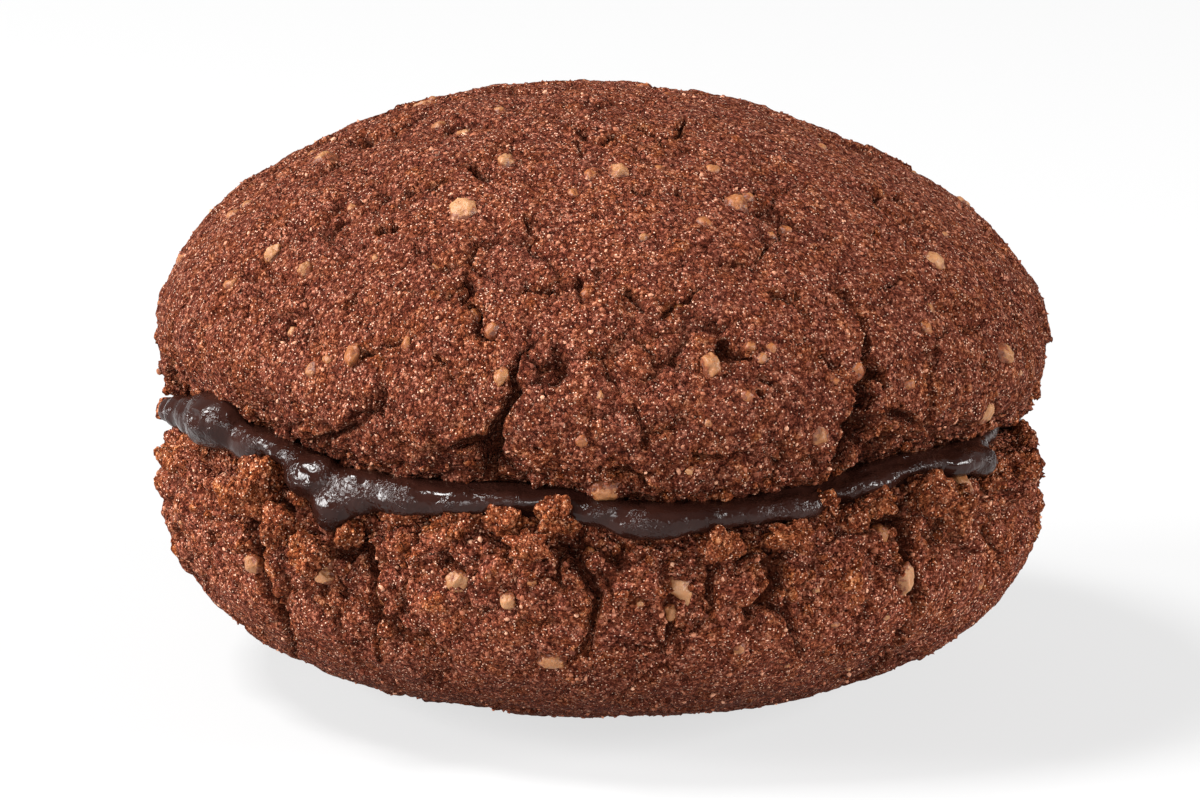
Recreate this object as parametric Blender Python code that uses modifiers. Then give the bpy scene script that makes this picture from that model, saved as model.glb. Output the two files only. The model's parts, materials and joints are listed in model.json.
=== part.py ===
"""Chocolate sandwich cookie: two domed, cracked cookies with nut pieces, and dark ganache between them.

Metres, +Z up. The origin is the middle of the flat spot that the sandwich rests on, and the front is -Y.
Azimuth is in degrees round the Z axis, 0 at the front and positive towards +X.
Climb is the distance in millimetres along a cookie's skin, from the edge of its flat face at the seam
up over the rounded rim to the middle of its dome. On the flat face, climb is negative.
"""

import math
import random
from collections import namedtuple

import bmesh
import bpy
import numpy as np
from mathutils import Matrix, Vector, noise

MM = 0.001

# Driving dimensions. RISE is the dome beyond the widest line, and RIM the part between it and the flat face.
COOKIE_RADIUS = 27.35 * MM
RIM_TURN = 2.2 * MM
TOP_RISE = 15.0 * MM
TOP_RIM = 4.4 * MM
BOTTOM_RISE = 13.7 * MM
BOTTOM_RIM = 2.3 * MM
SEAM_GAP = 1.2 * MM
FOOT_CUT = 0.4 * MM
CLEARANCE = 0.3 * MM

# How square each dome's shoulder is: 2 makes an ellipse, and more is squarer.
TOP_SHOULDER = 1.85
BOTTOM_SHOULDER = 2.45

FLAT_RADIUS = COOKIE_RADIUS - RIM_TURN
SEAM_HEIGHT = BOTTOM_RISE + BOTTOM_RIM + SEAM_GAP / 2 - FOOT_CUT

# The seam isn't level: its rise in mm over its mean height, by azimuth. The rise fades out by these climbs.
SEAM_LINE = (
    (-180, 0.2), (-120, -0.3), (-90, -0.2), (-76, 0.8), (-60, 1.5), (-48, 1.3), (-38, 0.4), (-30, 0.0),
    (-12, 0.4), (-4, 0.3), (6, -0.5), (20, -0.3), (32, 0.4), (43, 1.0), (58, 0.7), (90, 0.0), (130, -0.2),
    (180, 0.2),
)
LINE_FADE = ((-12 * MM, -2 * MM), (0.5 * MM, 9 * MM))

# The cookies' skin.
SWELL = 0.30 * MM
SWELL_SIZE = 11 * MM
LUMP = 0.14 * MM
LUMP_SIZE = 3.2 * MM
CRUMB = 0.8 * MM
CRUMB_SIZE = 2.4 * MM
RAGGED = 0.35
RAGGED_SIZE = 1.3 * MM
CLOSING = 0.65

# The share of a turn of a sphere's points that the skin takes; the rest lie on the hidden flat face.
SKIN_ANGLE = math.radians(135)
FINE_LEVEL = 7

# How many triangles the two cookies keep before their clods and nuts are joined, and the filling in the end.
TOP_TRIANGLES = 3900
BOTTOM_TRIANGLES = 4050
FILLING_TRIANGLES = 2100

Cookie = namedtuple("Cookie", "side rise rim shoulder lean crumbly cracks hollows ledges")

# A crack: its widest opening and its depth in mm, and the (azimuth, climb) points that it runs through.
TOP_CRACKS = (
    (1.25, 1.9, ((-14, 0.8), (-13.8, 2.2), (-13.5, 3.9), (-12.5, 5.0), (-11.2, 6.4), (-10.2, 7.4), (-10.8, 8.3),
                 (-10, 9.8))),
    (0.85, 1.1, ((-14, 4.2), (-16.8, 3.8), (-19.2, 3.3), (-22.5, 2.8))),
    (0.90, 1.0, ((-40, 2.2), (-38, 2.4), (-34.5, 3.3), (-30, 4.7), (-28.5, 6.4))),
    (1.35, 1.9, ((31, 0.8), (31.3, 3.2), (31.3, 4.6), (32.8, 5.8), (33.2, 6.9), (35.5, 7.9), (35.2, 8.8),
                 (37.2, 10.2))),
    (0.90, 0.8, ((32.5, 5.2), (35.8, 4.7), (38.2, 4.8), (42, 3.8), (45.5, 2.9), (50.3, 2.2))),
    (1.00, 0.8, ((-51.8, 2.6), (-52, 5.0), (-54.5, 7.8), (-58, 9.9))),
    (0.95, 0.7, ((45, 3.4), (44.8, 5.9), (45.8, 8.8), (47, 10.4))),
    (0.90, 0.6, ((5.4, 4.8), (5, 5.8), (3.7, 7.5))),
)
BOTTOM_CRACKS = (
    (1.25, 1.7, ((-48.5, 3.4), (-46.8, 5.4), (-46.7, 7.2), (-45, 9.1), (-46.6, 11.5), (-54, 15.0))),
    (0.85, 1.0, ((-38.8, 4.2), (-38, 6.0), (-36, 8.4), (-35, 10.8))),
    (1.05, 1.4, ((-32, 3.0), (-30.2, 3.6), (-28.5, 5.5), (-28.4, 7.6), (-26.5, 8.7), (-23, 9.6))),
    (1.15, 1.4, ((-4.2, 1.6), (-3.2, 2.8), (-2, 4.0), (0.2, 5.4), (-0.5, 6.8), (-1, 8.6), (-4, 10.2))),
    (0.95, 0.8, ((8.9, 5.2), (8.8, 6.6), (8.6, 8.2))),
    (1.00, 1.2, ((21.4, 2.2), (22.5, 4.6), (20.5, 5.9), (24.2, 7.2), (25.6, 8.6), (27.4, 10.2))),
    (1.25, 1.6, ((41.8, 3.4), (42, 6.0), (44.5, 8.0), (43.6, 9.4), (44.6, 11.3), (48.4, 14.0))),
    (0.80, 0.9, ((59, 4.0), (60.4, 5.3), (63.5, 6.8), (68, 9.2))),
)

# Hollows: azimuth, climb, and then radius and depth in mm.
TOP_HOLLOWS = (
    (-13.4, 3.6, 1.2, 1.8), (32.6, 4.4, 1.2, 1.9), (33.8, 6.2, 0.9, 1.7), (15.8, 9.8, 0.7, 0.7),
    (-25.5, 23.6, 0.8, 0.5), (4.5, 13.4, 0.9, 0.4),
)
BOTTOM_HOLLOWS = (
    (-45.5, 3.6, 1.9, 1.5), (-39.5, 4.6, 1.3, 1.2), (-32.5, 3.3, 1.6, 1.8), (2.2, 2.8, 1.4, 0.8),
    (22, 3.4, 1.0, 1.0), (39.6, 2.0, 1.5, 1.6),
)

# Stretches of the top cookie's edge that broke back under the skin: from and to azimuth, climb, and depth
# in mm.
TOP_LEDGES = (
    (-26, -8, 3.2, 0.35), (1, 13, 1.2, 0.4), (33, 58, 3.0, 0.35), (-44, -34, 2.2, 0.35),
    (118, 150, 2.4, 0.5), (-138, -112, 2.2, 0.4),
)

# How far the crown stands off the axis, and how crumbly the rim is, from 0 to 1.
TOP_LEAN = -0.8 * MM
BOTTOM_LEAN = 0.0
TOP_CRUMBLY = 0.35
BOTTOM_CRUMBLY = 1.0

TOP = Cookie(1, TOP_RISE, TOP_RIM, TOP_SHOULDER, TOP_LEAN, TOP_CRUMBLY, TOP_CRACKS, TOP_HOLLOWS, TOP_LEDGES)
BOTTOM = Cookie(-1, BOTTOM_RISE, BOTTOM_RIM, BOTTOM_SHOULDER, BOTTOM_LEAN, BOTTOM_CRUMBLY, BOTTOM_CRACKS,
                BOTTOM_HOLLOWS, ())

# Clods of crumb pushed out at the seam of the bottom cookie: azimuth, climb, and then width, height and how
# far the middle stands off the skin, in mm.
CLODS = (
    (-45.8, 2.5, 2.8, 3.0, 0.7), (-40.8, 3.4, 2.1, 2.4, 0.95), (-36, 4.3, 2.3, 2.6, 0.95),
    (-32.5, 2.9, 1.8, 1.6, -0.6), (-26, 1.2, 2.4, 1.6, -0.1), (-18, 1.2, 2.6, 1.8, -0.1),
    (-12, 1.3, 2.4, 1.7, 0.0), (-5.0, 1.0, 2.3, 2.1, 0.5), (-8.5, 2.8, 2.2, 1.8, 0.2),
    (15, 1.8, 2.6, 1.8, 0.0), (24, 2.0, 2.6, 1.8, 0.0), (29.4, 0.9, 1.6, 1.8, 0.7),
    (32.4, 2.0, 1.7, 1.6, 0.3), (36.8, 1.4, 2.2, 1.8, 0.3), (44.0, 2.0, 2.9, 2.9, 1.0),
    (49.2, 2.9, 2.2, 2.6, 0.2), (-64, 1.2, 2.6, 1.8, -0.1), (62, 1.4, 2.6, 1.8, -0.1),
)

CLOD_ROUGH = 0.45

# Nut pieces that the front shows: azimuth, climb, and then width and height in mm.
TOP_NUTS = (
    (-25, 19.7, 1.7, 1.9), (-22.5, 25.0, 0.9, 1.2), (-53.2, 29.0, 1.5, 1.2), (58.5, 13.9, 1.6, 1.4),
    (5.2, 24.4, 1.5, 1.5), (28.2, 20.8, 1.6, 1.5), (13.8, 9.0, 1.1, 1.5), (27.2, 4.5, 1.3, 1.3),
    (57, 3.4, 1.1, 1.5), (62, 7.0, 1.2, 1.3), (-56, 13.9, 1.0, 1.2), (-47, 13.5, 1.0, 1.0),
    (1, 1.4, 1.8, 1.3), (-32, 8.5, 0.8, 1.4), (-12, 8.2, 0.8, 1.1),
)
BOTTOM_NUTS = (
    (10.5, 4.9, 1.9, 2.4), (-17.2, 5.1, 1.6, 1.4), (-10.8, 5.9, 0.9, 1.0), (40.8, 5.9, 1.1, 1.8),
    (-5.8, 9.9, 1.6, 1.0), (53, 1.5, 1.5, 1.7), (-48.2, 6.4, 1.2, 1.1), (-36.4, 5.9, 1.5, 1.1),
    (-28.2, 6.6, 1.0, 1.6), (39, 3.7, 1.2, 1.3), (9, 6.5, 0.9, 1.0), (-42.8, 4.2, 1.1, 1.5),
)

# A nut piece sinks into the skin until this much of it stands out.
NUT_SHOWS = 0.4 * MM

# The rest of each cookie, out of the front's view, is drawn by rule.
SHOWN_AZIMUTH = 66
DRAWN_CRACKS = 11
DRAWN_NUTS = 13
DRAWN_CLODS = 13
TOP_SEED = 5
BOTTOM_SEED = 11

# The ganache: its usual edge, the swell of that edge, and the drops where it was squeezed out. A drop is its
# azimuth, distance from the axis and height over the seam, and its half sizes outwards, along the edge and
# upwards.
FILLING_RADIUS = 25.9 * MM
FILLING_WAVE = 0.35 * MM
FILLING_EDGE = 0.9 * MM

# Where the ganache stays back from the edge, from and to azimuth, how far it does, and over how many degrees
# it comes back.
BARE_STRETCHES = ((63, 92), (-96, -80))
BARE_DEPTH = 1.3 * MM
BARE_FADE = 4
DROPS = (
    (-76, 26.6, 1.0, 0.9, 1.1, 0.8), (-70, 26.6, 1.5, 1.1, 1.5, 1.05), (-65, 26.5, 1.75, 1.3, 1.8, 1.25),
    (-58.5, 26.4, 2.1, 1.9, 2.6, 1.75),
    (-51.5, 26.3, 1.3, 0.8, 2.0, 1.05), (-47.5, 26.2, 1.75, 0.9, 1.8, 0.6),
    (-43.8, 26.3, 1.4, 0.9, 1.6, 0.65), (-38.5, 26.3, 0.45, 1.5, 2.0, 1.35),
    (-34.8, 26.7, -0.95, 1.1, 1.5, 1.15), (-35, 26.8, -1.6, 0.9, 1.0, 0.85),
    (-31.5, 26.4, -0.3, 1.1, 1.4, 1.0), (-31.3, 26.1, 0.2, 1.3, 2.2, 1.2),
    (-25.5, 26.1, 0.08, 1.3, 2.6, 1.15), (-22, 26.0, 0.12, 1.2, 2.2, 1.0),
    (-18.5, 26.0, 0.25, 1.1, 2.4, 0.85), (-12.3, 25.9, 0.45, 1.0, 2.8, 0.65),
    (-6, 25.8, 0.6, 0.8, 2.6, 0.45), (0.3, 26.0, 0.0, 1.1, 2.4, 0.85), (6.5, 26.3, -0.47, 1.2, 2.8, 1.1),
    (12.5, 26.1, -0.35, 1.1, 2.8, 0.9), (18.9, 26.0, -0.2, 1.0, 2.8, 0.75),
    (25.5, 26.1, -0.1, 1.1, 2.2, 0.8), (32.4, 25.9, 0.45, 0.9, 2.2, 0.55),
    (36.5, 26.0, 0.75, 1.0, 2.2, 0.6), (41, 25.9, 1.1, 0.9, 2.0, 0.45), (46.9, 25.9, 1.2, 0.9, 2.0, 0.5),
    (53.5, 26.1, 0.85, 1.2, 2.2, 0.85), (58, 26.2, 0.5, 1.1, 1.4, 0.95), (102, 25.4, -0.2, 1.0, 2.4, 0.9),
    (131, 26.3, -0.9, 1.4, 2.0, 1.8), (174, 26.0, 0.1, 1.2, 3.2, 1.1), (-141, 26.1, -0.2, 1.3, 2.4, 1.4),
    (-112, 25.9, 0.5, 1.1, 2.8, 1.0),
)
MELT_VOXEL = 0.4 * MM
TRIM_VOXEL = 0.28 * MM

DOUGH = ("cookie_dough", (0.19, 0.062, 0.033, 1), 0.85)
GANACHE = ("ganache", (0.028, 0.011, 0.008, 1), 0.3)


def clear_scene():
    for obj in list(bpy.data.objects):
        bpy.data.objects.remove(obj)


def new_collection(name):
    collection = bpy.data.collections.new(name)
    bpy.context.scene.collection.children.link(collection)
    return collection


def material(name, colour, roughness):
    made = bpy.data.materials.new(name)
    made.use_nodes = True
    shader = made.node_tree.nodes["Principled BSDF"]
    shader.inputs["Base Color"].default_value = colour
    shader.inputs["Roughness"].default_value = roughness
    return made


def object_from(bm, name, collection):
    mesh = bpy.data.meshes.new(name)
    bm.to_mesh(mesh)
    bm.free()
    obj = bpy.data.objects.new(name, mesh)
    collection.objects.link(obj)
    return obj


def apply_modifiers(obj):
    """Puts the evaluated mesh in place of the object's own, and takes its modifiers off."""
    bpy.context.view_layer.update()
    graph = bpy.context.evaluated_depsgraph_get()
    obj.data = bpy.data.meshes.new_from_object(obj.evaluated_get(graph))
    obj.modifiers.clear()


def noise_at(places, size, shift):
    return np.array([noise.noise(Vector(p) / size + Vector((shift, shift, shift))) for p in places])


def crumbs_at(places, size):
    """Rounded grains: 1 in the middle of each cell of the given size, and about 0 at its walls."""
    nearest = np.array([noise.voronoi(Vector(p) / size)[0][0] for p in places])
    return 1 - np.clip(nearest / 0.7, 0, 1) ** 2


def smooth_step(values, start, end):
    t = np.clip((values - start) / (end - start), 0, 1)
    return t * t * (3 - 2 * t)


def seam_line(azimuth):
    """The seam's rise over its mean height, by azimuth in radians."""
    around, rise = zip(*SEAM_LINE)
    return np.interp(np.degrees(azimuth), around, rise) * MM


def line_weight(climb):
    """How much of the seam's rise a cookie follows at this climb: all of it at the seam, none on the dome."""
    return smooth_step(climb, *LINE_FADE[0]) * (1 - smooth_step(climb, *LINE_FADE[1]))


def profile(cookie):
    """Climb, radius and height over the flat face, from the middle of that face to the middle of the dome."""
    turn = np.linspace(0, math.pi / 2, 120)
    across = np.clip(np.cos(turn[1:]), 0, 1) ** (2 / cookie.shoulder)
    upward = np.sin(turn[1:]) ** (2 / cookie.shoulder)
    rim_radius = FLAT_RADIUS + RIM_TURN * np.sin(turn)
    rim_height = cookie.rim * (1 - np.cos(turn))
    dome_radius = COOKIE_RADIUS * across
    dome_height = cookie.rim + cookie.rise * upward
    radius = np.concatenate([[0], rim_radius, dome_radius])
    height = np.concatenate([[0], rim_height, dome_height])
    climb = np.concatenate([[0], np.cumsum(np.hypot(np.diff(radius), np.diff(height)))]) - FLAT_RADIUS
    return climb, radius, height


def skin(cookie, azimuth, climb):
    """Places on the plain cookie, and the normals there. Azimuth is in radians and climb in metres."""
    at, radius, height = profile(cookie)
    r = np.interp(climb, at, radius)
    h = np.interp(climb, at, height)
    out = np.interp(climb, at, np.gradient(height, at))
    down = np.interp(climb, at, np.gradient(radius, at))
    lean = cookie.lean * (h / (cookie.rim + cookie.rise)) ** 2
    seam = SEAM_HEIGHT + cookie.side * SEAM_GAP / 2 + seam_line(azimuth) * line_weight(climb)
    places = np.stack([r * np.sin(azimuth) + lean, -r * np.cos(azimuth), seam + cookie.side * h], axis=-1)
    normals = np.stack([out * np.sin(azimuth), -out * np.cos(azimuth), -cookie.side * down], axis=-1)
    return places, normals / np.linalg.norm(normals, axis=-1, keepdims=True)


def skin_place(cookie, azimuth_deg, climb_mm):
    places, normals = skin(cookie, np.array([math.radians(azimuth_deg)]), np.array([climb_mm * MM]))
    return Vector(places[0]), Vector(normals[0])


def crack_sink(cookie, places, edges, width, depth, points):
    """How far one crack sinks each place. It is widest and deepest at its start and closes towards its end."""
    line = np.array([skin_place(cookie, *point)[0] for point in points])
    reach = np.linalg.norm(np.diff(line, axis=0), axis=1)
    share = np.concatenate([[0], np.cumsum(reach)]) / reach.sum()
    sink = np.zeros(len(places))
    for start, end, share_from, share_to in zip(line, line[1:], share, share[1:]):
        step = end - start
        t = np.clip((places - start) @ step / (step @ step), 0, 1)
        away = np.linalg.norm(places - start - t[:, None] * step, axis=1) * (1 + RAGGED * edges)
        open_share = 1 - CLOSING * (share_from + t * (share_to - share_from))
        across = away / (width / 2 * MM * open_share)
        sink = np.maximum(sink, depth * MM * open_share * np.clip(1 - across**2, 0, 1))
    return sink


def drawn_cracks(seed):
    """Cracks for the sides and the back: each climbs from the rim in short, wandering steps."""
    draw = random.Random(seed)
    cracks = []
    hidden = 360 - 2 * SHOWN_AZIMUTH
    for number in range(DRAWN_CRACKS):
        azimuth = SHOWN_AZIMUTH + hidden * (number + draw.uniform(0.3, 0.9)) / DRAWN_CRACKS
        climb = draw.uniform(1.2, 3.5)
        points = [(azimuth, climb)]
        for _ in range(draw.randint(3, 6)):
            azimuth += draw.uniform(-2.6, 2.6)
            climb += draw.uniform(1.1, 2.0)
            points.append((azimuth, climb))
        cracks.append((draw.uniform(0.7, 1.3), draw.uniform(0.8, 1.7), tuple(points)))
    return cracks


def relief(cookie, seed, azimuth, climb, places):
    """How far the skin stands off the plain cookie at each place."""
    edges = noise_at(places, RAGGED_SIZE, 3.1)
    height = SWELL * noise_at(places, SWELL_SIZE, seed) + LUMP * noise_at(places, LUMP_SIZE, seed)
    crumbly = cookie.crumbly * (1 - smooth_step(climb + RAGGED_SIZE * edges, 2.2 * MM, 5.2 * MM))
    height += CRUMB * crumbly * (crumbs_at(places, CRUMB_SIZE) - 0.6)
    sink = np.zeros(len(places))
    for width, depth, points in list(cookie.cracks) + drawn_cracks(seed):
        sink = np.maximum(sink, crack_sink(cookie, places, edges, width, depth, points))
    for around, along, radius, depth in cookie.hollows:
        middle = np.array(skin_place(cookie, around, along)[0])
        away = np.linalg.norm(places - middle, axis=1) * (1 + RAGGED * edges) / (radius * MM)
        sink = np.maximum(sink, depth * MM * np.clip(1 - away**2, 0, 1))
    for start, end, along, depth in cookie.ledges:
        turned = np.degrees(azimuth)
        inside = smooth_step(turned, start, start + 3) * (1 - smooth_step(turned, end - 3, end))
        under = 1 - smooth_step(climb + 0.5 * RAGGED_SIZE * edges, (along - 0.4) * MM, (along + 0.4) * MM)
        sink = np.maximum(sink, depth * MM * inside * under)
    return (height - sink) * smooth_step(climb, -1.5 * MM, 0.8 * MM)


def cookie_body(name, cookie, seed, collection, grow=0.0):
    """One cookie without its clods and nuts. A sphere's points are moved onto the skin and its relief."""
    bm = bmesh.new()
    bmesh.ops.create_icosphere(bm, subdivisions=FINE_LEVEL, radius=1)
    sphere = np.array([vert.co for vert in bm.verts])
    azimuth = np.arctan2(sphere[:, 0], -sphere[:, 1])
    from_pole = np.arccos(np.clip(cookie.side * sphere[:, 2], -1, 1))
    top_climb = profile(cookie)[0][-1]
    on_skin = top_climb * (1 - from_pole / SKIN_ANGLE)
    on_flat = -FLAT_RADIUS * (from_pole - SKIN_ANGLE) / (math.pi - SKIN_ANGLE)
    climb = np.where(from_pole < SKIN_ANGLE, on_skin, on_flat)
    places, normals = skin(cookie, azimuth, climb)
    shaped = places + normals * (relief(cookie, seed, azimuth, climb, places) + grow)[:, None]
    for vert, place in zip(bm.verts, shaped):
        vert.co = place
    return object_from(bm, name, collection)


def simplify(obj, triangles):
    """Brings the mesh down to about this many triangles, which stay where the surface bends."""
    sides = sum(len(face.vertices) - 2 for face in obj.data.polygons)
    decimate = obj.modifiers.new("Simplify", "DECIMATE")
    decimate.ratio = triangles / sides
    decimate.use_collapse_triangulate = True
    apply_modifiers(obj)


def chunk(name, place, normal, size, level, rough, seed, collection):
    """An uneven lump of the given width, height and thickness, with its thickness along the normal."""
    bm = bmesh.new()
    bmesh.ops.create_icosphere(bm, subdivisions=level, radius=0.5)
    for vert in bm.verts:
        vert.co *= 1 + rough * noise.noise(vert.co * 3 + Vector((seed, 0, 0)))
    across = Vector((0, 0, 1)).cross(normal).normalized()
    upward = normal.cross(across)
    turn = Matrix((across, upward, normal)).transposed()
    bmesh.ops.transform(bm, matrix=turn.to_4x4() @ Matrix.Diagonal((*size, 1)), verts=bm.verts)
    bmesh.ops.translate(bm, vec=place, verts=bm.verts)
    return object_from(bm, name, collection)


def drawn_nuts(cookie, seed):
    """Nut pieces for the sides and the back, spread evenly, with a step of the golden angle between them."""
    draw = random.Random(seed + 1)
    top_climb = profile(cookie)[0][-1] / MM
    hidden = 360 - 2 * SHOWN_AZIMUTH
    nuts = []
    for number in range(DRAWN_NUTS):
        share = (number * 0.618 + draw.uniform(0, 0.08)) % 1
        climb = 2.5 + (top_climb - 10) * (number + 0.5) / DRAWN_NUTS
        nuts.append((SHOWN_AZIMUTH + hidden * share, climb, draw.uniform(0.9, 1.7), draw.uniform(1.0, 1.8)))
    return nuts


def drawn_clods(seed):
    """Clods for the sides and the back of the seam."""
    draw = random.Random(seed + 2)
    hidden = 360 - 2 * SHOWN_AZIMUTH
    clods = []
    for number in range(DRAWN_CLODS):
        azimuth = SHOWN_AZIMUTH + hidden * (number + draw.uniform(0.2, 0.8)) / DRAWN_CLODS
        stands_off = draw.uniform(-0.3, 0.1)
        climb = draw.uniform(0.4, 2.6)
        clods.append((azimuth, climb, draw.uniform(1.6, 2.9), draw.uniform(1.6, 2.6), stands_off))
    return clods


def add_nuts(cookie, nuts, seed, collection, grow=0.0):
    for number, (azimuth, climb, width, height) in enumerate(nuts):
        place, normal = skin_place(cookie, azimuth, climb)
        thickness = min(width, height)
        place += normal * (NUT_SHOWS - thickness / 2 * MM)
        size = [length * MM + 2 * grow for length in (width, height, thickness)]
        chunk(f"nut_{number}", place, normal, size, 1, 0.35, seed + number, collection)


def add_clods(clods, collection, grow=0.0):
    for number, (azimuth, climb, width, height, stands_off) in enumerate(clods):
        place, normal = skin_place(BOTTOM, azimuth, climb)
        thickness = min(width, height)
        size = [length * MM + 2 * grow for length in (width, height, thickness)]
        place += normal * stands_off * MM
        chunk(f"clod_{number}", place, normal, size, 1, CLOD_ROUGH, number, collection)


def keep_one_body(obj):
    """Fills the hollows that fusing sealed and drops loose scraps: the largest shell stays."""
    bm = bmesh.new()
    bm.from_mesh(obj.data)
    shells = []
    unseen = set(bm.verts)
    while unseen:
        shell = set()
        queue = [unseen.pop()]
        while queue:
            vert = queue.pop()
            shell.add(vert)
            for edge in vert.link_edges:
                other = edge.other_vert(vert)
                if other in unseen:
                    unseen.remove(other)
                    queue.append(other)
        shells.append(shell)
    shells.sort(key=len)
    for shell in shells[:-1]:
        bmesh.ops.delete(bm, geom=list(shell), context="VERTS")
    bm.to_mesh(obj.data)
    bm.free()


def fuse(obj, collection):
    """Joins the collection's lumps to the object, and removes them."""
    union = obj.modifiers.new("Fuse", "BOOLEAN")
    union.operation = "UNION"
    union.operand_type = "COLLECTION"
    union.collection = collection
    union.solver = "MANIFOLD"
    apply_modifiers(obj)
    keep_one_body(obj)
    for lump in list(collection.objects):
        bpy.data.objects.remove(lump)


def subtract(obj, cutter):
    cut = obj.modifiers.new("Cut", "BOOLEAN")
    cut.operation = "DIFFERENCE"
    cut.object = cutter
    cut.solver = "MANIFOLD"
    apply_modifiers(obj)
    keep_one_body(obj)


def build_top(name, collection, lumps, grow=0.0):
    obj = cookie_body(name, TOP, TOP_SEED, collection, grow)
    simplify(obj, TOP_TRIANGLES)
    add_nuts(TOP, list(TOP_NUTS) + drawn_nuts(TOP, TOP_SEED), TOP_SEED, lumps, grow)
    fuse(obj, lumps)
    return obj


def build_bottom(name, collection, lumps, grow=0.0):
    obj = cookie_body(name, BOTTOM, BOTTOM_SEED, collection, grow)
    simplify(obj, BOTTOM_TRIANGLES)
    add_clods(list(CLODS) + drawn_clods(BOTTOM_SEED), lumps, grow)
    add_nuts(BOTTOM, list(BOTTOM_NUTS) + drawn_nuts(BOTTOM, BOTTOM_SEED), BOTTOM_SEED, lumps, grow)
    fuse(obj, lumps)
    return obj


def cut_foot(obj, cutters):
    """Planes off what lies below the surface that the cookie rests on."""
    bm = bmesh.new()
    bmesh.ops.create_cube(bm, size=1, matrix=Matrix.Diagonal((80 * MM, 80 * MM, 10 * MM, 1)))
    bmesh.ops.translate(bm, vec=(0, 0, -5 * MM), verts=bm.verts)
    floor = object_from(bm, "floor_cutter", cutters)
    floor.hide_render = True
    floor.display_type = "WIRE"
    subtract(obj, floor)


def melt(obj, voxel, smoothing):
    """Gives the body one even skin, and rounds it a little where smoothing is over 0."""
    remesh = obj.modifiers.new("Remesh", "REMESH")
    remesh.mode = "VOXEL"
    remesh.voxel_size = voxel
    if smoothing:
        smooth = obj.modifiers.new("Smooth", "SMOOTH")
        smooth.factor = 0.5
        smooth.iterations = smoothing
    apply_modifiers(obj)


def bare_share(azimuth):
    """How far the ganache stays back from the edge at this azimuth in radians, from 0 to 1."""
    share = 0.0
    for start, end in BARE_STRETCHES:
        inside = min(math.degrees(azimuth) - start, end - math.degrees(azimuth))
        share = max(share, float(smooth_step(inside, 0, BARE_FADE)))
    return share


def build_filling(name, collection, lumps):
    """A disc with a rounded, uneven edge, and the drops along it, melted into one smooth body."""
    bm = bmesh.new()
    bmesh.ops.create_uvsphere(bm, u_segments=144, v_segments=24, radius=1)
    for vert in bm.verts:
        azimuth = math.atan2(vert.co.x, -vert.co.y)
        rim = vert.co.xy.length
        wave = noise.noise(Vector((math.sin(azimuth), math.cos(azimuth), 0)) * 4)
        edge = FILLING_RADIUS + FILLING_WAVE * wave - BARE_DEPTH * bare_share(azimuth)
        radius = edge * min(1, rim / 0.6) - FILLING_EDGE * (1 - math.sqrt(max(0, 1 - vert.co.z**2)))
        radius = max(radius, 0) if rim > 0.001 else 0
        half = SEAM_GAP / 2 + 0.5 * MM * smooth_step(radius, FLAT_RADIUS - 1 * MM, FLAT_RADIUS + 1 * MM)
        flatness = math.copysign(min(1, abs(vert.co.z) * 1.3), vert.co.z)
        middle = SEAM_HEIGHT + float(seam_line(azimuth) * line_weight(radius - FLAT_RADIUS))
        vert.co = (radius * math.sin(azimuth), -radius * math.cos(azimuth), middle + half * flatness)
    disc = object_from(bm, name, collection)
    for number, (azimuth, radius, height, outward, along, upward) in enumerate(DROPS):
        turn = math.radians(azimuth)
        normal = Vector((math.sin(turn), -math.cos(turn), 0))
        place = normal * radius * MM + Vector((0, 0, SEAM_HEIGHT + height * MM))
        size = [2 * length * MM for length in (along, upward, outward)]
        chunk(f"drop_{number}", place, normal, size, 3, 0.1, number, lumps)
    fuse(disc, lumps)
    melt(disc, MELT_VOXEL, 4)
    return disc


def main():
    clear_scene()
    parts = new_collection("chocolate_sandwich_cookie")
    cutters = new_collection("cutters")
    lumps = new_collection("lumps")

    top = build_top("top_cookie", parts, lumps)
    bottom = build_bottom("bottom_cookie", parts, lumps)
    cut_foot(bottom, cutters)

    filling = build_filling("ganache_filling", parts, lumps)
    for build, cutter_name in ((build_top, "top_cutter"), (build_bottom, "bottom_cutter")):
        cutter = build(cutter_name, cutters, lumps, grow=CLEARANCE)
        cutter.hide_render = True
        cutter.display_type = "WIRE"
        subtract(filling, cutter)
    melt(filling, TRIM_VOXEL, 0)
    keep_one_body(filling)
    simplify(filling, FILLING_TRIANGLES)

    dough = material(*DOUGH)
    ganache = material(*GANACHE)
    for obj, finish in ((top, dough), (bottom, dough), (filling, ganache)):
        obj.data.materials.clear()
        obj.data.materials.append(finish)


main()
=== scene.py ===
import json
import math
import random
from collections import namedtuple

import bmesh
import bpy
import numpy as np
from mathutils import Matrix, Vector, noise

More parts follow.
